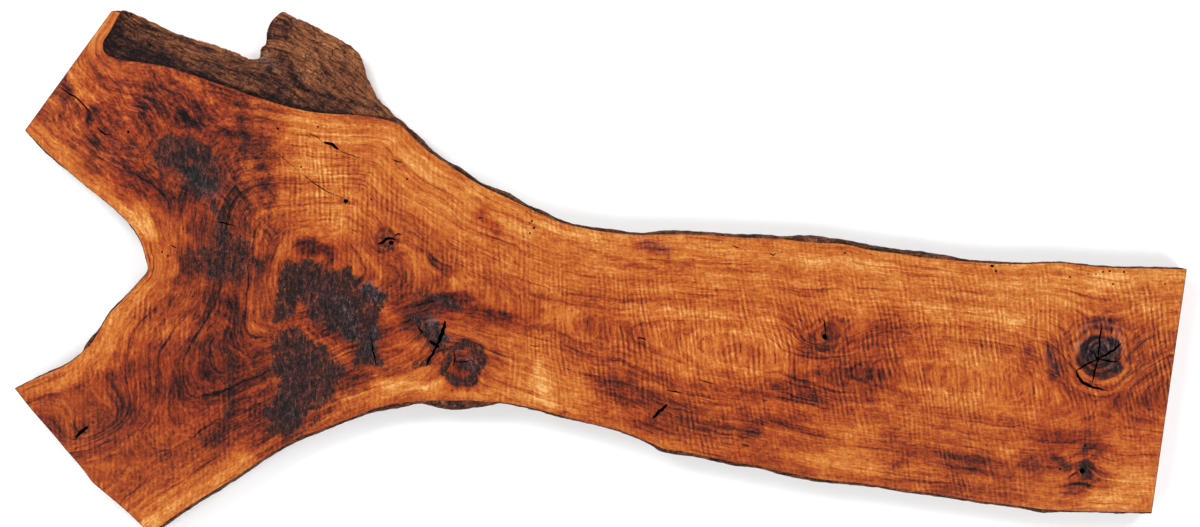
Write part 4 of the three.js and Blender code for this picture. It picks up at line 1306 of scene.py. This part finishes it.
def dressOiledFace():
    tree, shader = startMaterial("oiledFace")
    shader.inputs["Specular IOR Level"].default_value = 0.2
    place = objectPlace(tree)
    grain, tone = field(tree, "grain", "Vector"), field(tree, "tone")
    marks = addNode(tree, "SeparateColor", {0: field(tree, "marks", "Color")}).outputs
    black, red, feather = marks[0], marks[1], marks[2]
    rippleShare = field(tree, "marks", "Alpha")
    streaks = useGroup(tree, grainStreaks, {"Grain": grain, "Bands": 0.15, "Lines": 0.30, "Fibres": 0.26})
    ripple = useGroup(tree, rippleFigure, {"Grain": grain, "Spacing": 9.8, "Strength": calc(
        tree, "MULTIPLY", rippleShare, 0.135)})
    flames = useGroup(tree, featherFigure, {"Strength": calc(tree, "MULTIPLY", feather, 0.95)})
    mottle = total(tree, centred(tree, cloud(tree, place, 20.0, 4.0, 0.65), 0.36),
                   centred(tree, cloud(tree, place, 190.0, 3.0, 0.7), 0.52))
    finished = total(tree, calc(tree, "MULTIPLY", tone, 1.08), streaks["Tone"], ripple["Tone"],
                     flames["Tone"], mottle)
    finished = calc(tree, "SUBTRACT", finished, calc(tree, "MULTIPLY", streaks["Pores"], 0.22))
    colour = useGroup(tree, walnutColour, {"Tone": finished, "Red": red, "Grey": 0.0})["Color"]

    upright = stretch(tree, place, 1.5, 0.62, 1.0)
    ragged = total(tree, centred(tree, cloud(tree, place, 62.0, 5.0, 0.75, 0.8), 1.6),
                   centred(tree, cloud(tree, upright, 170.0, 3.0, 0.7), 1.3))
    blackShare = easeBetween(tree, calc(tree, "ADD", black, ragged), 0.38, 0.86)
    inky = cloud(tree, upright, 120.0, 4.0, 0.8, 0.5)
    # Painted highlights: glints are pale flecks of sheen, painted into the black wood's tone below and,
    # where the grey field is painted, into its colour.
    glints = easeBetween(tree, cloud(tree, upright, 95.0, 3.0, 0.75, 0.9), 0.56, 0.72)
    inkTone = total(tree, 0.06, centred(tree, inky, 1.9), calc(tree, "MULTIPLY", glints, 0.17))
    ink = useGroup(tree, walnutColour, {"Tone": inkTone, "Red": 0.0, "Grey": 0.35})["Color"]
    islands = easeBetween(tree, cloud(tree, upright, 52.0, 4.0, 0.75, 0.9), 0.57, 0.70, 0.97, 0.42)
    colour = mixColour(tree, calc(tree, "MULTIPLY", blackShare, islands), colour, ink)

    # Where grey is painted, the colour turns a cooler slate and the glints turn bright bluish: painted
    # highlights.
    grey = field(tree, "grey")
    value = addNode(tree, "RGBToBW", {0: colour}).outputs[0]
    slateWithPaintedGlints = mixColour(tree, 1.0, mixColour(tree, glints, (0.75, 0.8, 0.95, 1), (2.3, 2.7, 3.6, 1)),
                      value, "MULTIPLY")
    colour = mixColour(tree, calc(tree, "MULTIPLY", grey, 0.8), colour, slateWithPaintedGlints)
    tree.links.new(colour, shader.inputs["Base Color"])
    rough = total(tree, 0.34, centred(tree, inky, 0.16), calc(tree, "MULTIPLY", blackShare, 0.06))
    tree.links.new(rough, shader.inputs["Roughness"])
    height = total(tree, streaks["Height"], calc(tree, "MULTIPLY", ripple["Height"], 3.5),
                   calc(tree, "MULTIPLY", streaks["Pores"], -0.7),
                   calc(tree, "MULTIPLY", flames["Tone"], 2.0),
                   calc(tree, "MULTIPLY", blackShare, centred(tree, inky, 3.5)))
    tree.links.new(bump(tree, height, 0.0006, 0.7), shader.inputs["Normal"])


# Weathered wood and bark: worn plates along the fibres, the cells' edges of a stretched Voronoi
# pattern as gaps, with fine fibres, chips and long cracks. These fissures sink in the height, and
# the wane and the live edge paint them near black: painted shade in the recesses.
def makeWeathering():
    tree, given, out = makeGroup("weathering", [
        ("Fibre", "Vector"), ("Tone", "Float", 0.3), ("Contrast", "Float", 0.3)],
        [("Tone", "Float"), ("FissureShade", "Float"), ("Height", "Float")])
    place = objectPlace(tree)
    along, across, _ = parts(tree, given["Fibre"])
    along = total(tree, along, centred(tree, cloud(tree, place, 55.0, 3.0), 22.0))
    across = total(tree, across, centred(tree, cloud(tree, place, 16.0, 3.0), 16.0),
                   centred(tree, cloud(tree, place, 110.0, 3.0, 0.7), 7.0))
    flow = addNode(tree, "CombineXYZ", {0: along, 1: across, 2: 0.0}).outputs[0]
    ridges = cloud(tree, stretch(tree, flow, 1 / 50, 1 / 9, 1), 1.0, 5.0, 0.75)
    threads = cloud(tree, stretch(tree, flow, 1 / 24, 1 / 3.0, 1), 1.0, 3.0, 0.7)
    lumps = cloud(tree, place, 30.0, 5.0, 0.7)
    chips = cloud(tree, place, 170.0, 4.0, 0.75)
    cell = addNode(tree, "TexVoronoi", {"Vector": stretch(tree, flow, 1 / 34, 1 / 9, 1), "Scale": 1.0},
                   feature="DISTANCE_TO_EDGE", voronoi_dimensions="2D").outputs["Distance"]
    gaps = calc(tree, "MULTIPLY", easeBetween(tree, cell, 0.09, 0.0), easeBetween(tree, lumps, 0.44, 0.60))
    cracks = cloud(tree, stretch(tree, flow, 1 / 130, 1 / 15, 1), 1.0, 2.0, 0.5)
    gaping = easeBetween(tree, calc(tree, "ABSOLUTE", centred(tree, cracks, 2.0)), 0.03, 0.0)
    wornAndShaded = easeBetween(tree, total(tree, ridges, centred(tree, threads, 0.6)), 0.42, 0.33)
    fissures = total(tree, wornAndShaded, gaps, calc(tree, "MULTIPLY", gaping, easeBetween(tree, chips, 0.4, 0.55)))
    tone = total(tree, given["Tone"], calc(tree, "MULTIPLY", given["Contrast"], total(
        tree, centred(tree, ridges, 1.6), centred(tree, threads, 1.7), centred(tree, lumps, 1.8),
        centred(tree, chips, 2.2))))
    tree.links.new(tone, out["Tone"])
    tree.links.new(calc(tree, "MINIMUM", fissures, 1.0), out["FissureShade"])
    tree.links.new(total(tree, centred(tree, ridges, 1.4), centred(tree, threads, 0.8),
                         centred(tree, chips, 1.2), calc(tree, "MULTIPLY", fissures, -1.0)), out["Height"])
    return tree


weathering = makeWeathering()
weatheredStops = [
    (0.0, (0.005, 0.003, 0.003)), (0.12, (0.027, 0.010, 0.008)), (0.25, (0.095, 0.031, 0.017)),
    (0.38, (0.200, 0.066, 0.026)), (0.52, (0.330, 0.122, 0.045)), (0.70, (0.480, 0.225, 0.095)),
    (1.0, (0.680, 0.410, 0.230))]


def dressWane():
    tree, shader = startMaterial("weatheredWane")
    shader.inputs["Specular IOR Level"].default_value = 0.12
    wornAndShaded = useGroup(tree, weathering, {"Fibre": field(tree, "fibre", "Vector"),
                                       "Tone": field(tree, "wornAndShaded"), "Contrast": 0.36})
    colour = colourRamp(tree, wornAndShaded["Tone"], weatheredStops)
    # Painted shade: the fissures are darkened to near black.
    colour = mixColour(tree, calc(tree, "MULTIPLY", wornAndShaded["FissureShade"], 0.85), colour,
                       (0.008, 0.005, 0.005, 1))
    grey = field(tree, "grey")
    value = addNode(tree, "RGBToBW", {0: colour}).outputs[0]
    ashen = mixColour(tree, 1.0, (1.15, 1.05, 1.0, 1), value, "MULTIPLY")
    colour = mixColour(tree, calc(tree, "MULTIPLY", grey, 0.8), colour, ashen)
    tree.links.new(colour, shader.inputs["Base Color"])
    shader.inputs["Roughness"].default_value = 0.72
    tree.links.new(bump(tree, wornAndShaded["Height"], 0.002, 0.9), shader.inputs["Normal"])


def dressLiveEdge():
    tree, shader = startMaterial("liveEdge")
    shader.inputs["Specular IOR Level"].default_value = 0.12
    wornAndShaded = useGroup(tree, weathering, {"Fibre": field(tree, "fibre", "Vector"), "Tone": 0.20,
                                       "Contrast": 0.42})
    colour = colourRamp(tree, wornAndShaded["Tone"], weatheredStops)
    # Painted shade: the fissures are darkened to near black.
    colour = mixColour(tree, calc(tree, "MULTIPLY", wornAndShaded["FissureShade"], 0.8), colour, (0.010, 0.007, 0.006, 1))
    tree.links.new(colour, shader.inputs["Base Color"])
    shader.inputs["Roughness"].default_value = 0.82
    tree.links.new(bump(tree, wornAndShaded["Height"], 0.002, 0.9), shader.inputs["Normal"])


# Sawn surfaces: growth lines, and the saw's fine straight marks across.
def dressSawn(name, tone, way, spacing, lift, arris=0.0):
    tree, shader = startMaterial(name)
    shader.inputs["Specular IOR Level"].default_value = 0.25
    place = objectPlace(tree)
    grain = field(tree, "grain", "Vector")
    streaks = useGroup(tree, grainStreaks, {"Grain": grain, "Bands": 0.12, "Lines": 0.20, "Fibres": 0.08})
    turned = addNode(tree, "Mapping", {"Vector": place, "Rotation": way}).outputs[0]
    x, y, _ = parts(tree, turned)
    arc = total(tree, calc(tree, "MULTIPLY", x, 1000 / spacing), centred(tree, cloud(tree, place, 5.0), 3.0))
    saw = calc(tree, "SINE", calc(tree, "MULTIPLY", arc, 2 * math.pi))
    scratches = cloud(tree, stretch(tree, turned, 900.0, 40.0, 40.0), 1.0, 2.0)
    blotches = cloud(tree, place, 12.0, 4.0, 0.6)
    shade = total(tree, tone, streaks["Tone"], calc(tree, "MULTIPLY", saw, 0.02),
                  centred(tree, scratches, 0.12), centred(tree, blotches, 0.16),
                  calc(tree, "MULTIPLY", streaks["Pores"], -0.12))
    # Darker over the chamfer and the top few millimetres of a sawn end.
    if arris:
        high = outline["thickness"] / 1000
        shade = calc(tree, "ADD", shade, easeBetween(tree, parts(tree, place)[2], high - 0.004, high - 0.001,
                                                     0.0, -arris))
    colour = useGroup(tree, walnutColour, {"Tone": shade, "Red": 0.0, "Grey": lift})["Color"]
    tree.links.new(colour, shader.inputs["Base Color"])
    shader.inputs["Roughness"].default_value = 0.7
    height = total(tree, saw, centred(tree, scratches, 1.5), streaks["Height"])
    tree.links.new(bump(tree, height, 0.00035, 0.7), shader.inputs["Normal"])


# The walls of the cut checks and holes: painted shade, near black, a little lighter only within 10
# millimetres of the oiled face's height.
def dressShadedCheck():
    tree, shader = startMaterial("shadedCheck")
    shader.inputs["Specular IOR Level"].default_value = 0.3
    place = objectPlace(tree)
    _, _, height = parts(tree, place)
    deep = easeBetween(tree, height, outline["thickness"] / 1000 - 0.010, outline["thickness"] / 1000)
    tone = total(tree, 0.02, calc(tree, "MULTIPLY", deep, 0.13),
                 centred(tree, cloud(tree, place, 260.0, 3.0), 0.16))
    tree.links.new(useGroup(tree, walnutColour, {"Tone": tone, "Red": 0.2, "Grey": 0.2})["Color"],
                   shader.inputs["Base Color"])
    shader.inputs["Roughness"].default_value = 0.65
    tree.links.new(bump(tree, cloud(tree, place, 300.0, 3.0), 0.0008, 0.8), shader.inputs["Normal"])


dressOiledFace()
dressWane()
dressLiveEdge()
dressSawn("sawnEnd", 0.44, (0, 0, math.radians(20)), 7.0, 0.3, 0.3)
dressSawn("sawnUnderside", 0.52, (0, 0, math.radians(8)), 9.0, 0.35)
dressShadedCheck()
print("materials made")

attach(slab, "root")
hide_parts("slab")

# The floor, the light and the camera.
studio = {
    "floor": 24.0,
    "cameraHeight": 5.0,
    "frameWidth": 2.4,
    "frameMiddle": (1200.0, 553.0),
    "sensor": 36.0,
    "overhead": 0.05,         # light from straight above
    "around": 0.55,           # light from low down, all round
    "backdrop": 0.96,         # how bright the surroundings look beside the floor
    # soft boxes: place, size in metres, power in watts
    "boxes": [
        ("keyBox", (-3.3, 3.3, 3.7), (3.0, 3.0), 266),
        ("rightBox", (3.6, 3.1, 3.6), (3.0, 3.0), 160),
        ("leftBox", (-3.6, -3.1, 3.6), (3.0, 3.0), 160),
        ("fillBox", (3.3, -3.3, 3.6), (3.0, 3.0), 192),
    ],
}


def makeFloor():
    half = studio["floor"] / 2
    corners = [(-half, -half, 0), (half, -half, 0), (half, half, 0), (-half, half, 0)]
    mesh = bpy.data.meshes.new("floor")
    mesh.from_pydata(corners, [], [(0, 1, 2, 3)])
    material = bpy.data.materials.new("paleFloor")
    material.use_nodes = True
    shader = material.node_tree.nodes["Principled BSDF"]
    shader.inputs["Base Color"].default_value = (0.97, 0.97, 0.97, 1)
    shader.inputs["Roughness"].default_value = 0.9
    shader.inputs["Specular IOR Level"].default_value = 0.0
    mesh.materials.append(material)
    floor = bpy.data.objects.new("floor", mesh)
    bpy.context.scene.collection.objects.link(floor)


def makeLight(name, place, size, power):
    lamp = bpy.data.lights.new(name, "AREA")
    lamp.shape = "RECTANGLE"
    lamp.size, lamp.size_y = size
    lamp.energy = power
    light = bpy.data.objects.new(name, lamp)
    light.location = place
    light.rotation_euler = (-Vector(place)).to_track_quat("-Z", "Y").to_euler()
    bpy.context.scene.collection.objects.link(light)


# The surroundings' light falls off smoothly from the horizon to straight overhead, so that the
# oil's gloss stays dark seen from above; to the camera they are one pale tone.
def makeSurroundings():
    world = bpy.data.worlds.new("studio")
    world.use_nodes = True
    tree = world.node_tree
    way = addNode(tree, "TexCoord", {}).outputs["Generated"]
    up = parts(tree, way)[2]
    strength = easeBetween(tree, up, 0.35, 0.95, studio["around"], studio["overhead"])
    glow = tree.nodes["Background"]
    glow.inputs["Color"].default_value = (1, 1, 1, 1)
    tree.links.new(strength, glow.inputs["Strength"])
    seen = addNode(tree, "Background", {"Color": (1, 1, 1, 1), "Strength": studio["backdrop"]})
    direct = addNode(tree, "LightPath", {}).outputs["Is Camera Ray"]
    mix = addNode(tree, "MixShader", {0: direct, 1: glow.outputs[0], 2: seen.outputs[0]})
    tree.links.new(mix.outputs[0], tree.nodes["World Output"].inputs["Surface"])
    bpy.context.scene.world = world


def makeCamera():
    lens = bpy.data.cameras.new("camera")
    lens.sensor_width = studio["sensor"]
    lens.lens = studio["sensor"] * studio["cameraHeight"] / studio["frameWidth"]
    lens.clip_end = 100
    camera = bpy.data.objects.new("camera", lens)
    x, y = (np.array(studio["frameMiddle"]) - sheetMiddle) / 1000
    camera.location = (x, y, outline["thickness"] / 1000 + studio["cameraHeight"])
    bpy.context.scene.collection.objects.link(camera)
    bpy.context.scene.camera = camera


makeFloor()
for box in studio["boxes"]:
    makeLight(*box)
makeSurroundings()
makeCamera()
bpy.context.scene.view_settings.view_transform = "Standard"
print("studio ready")
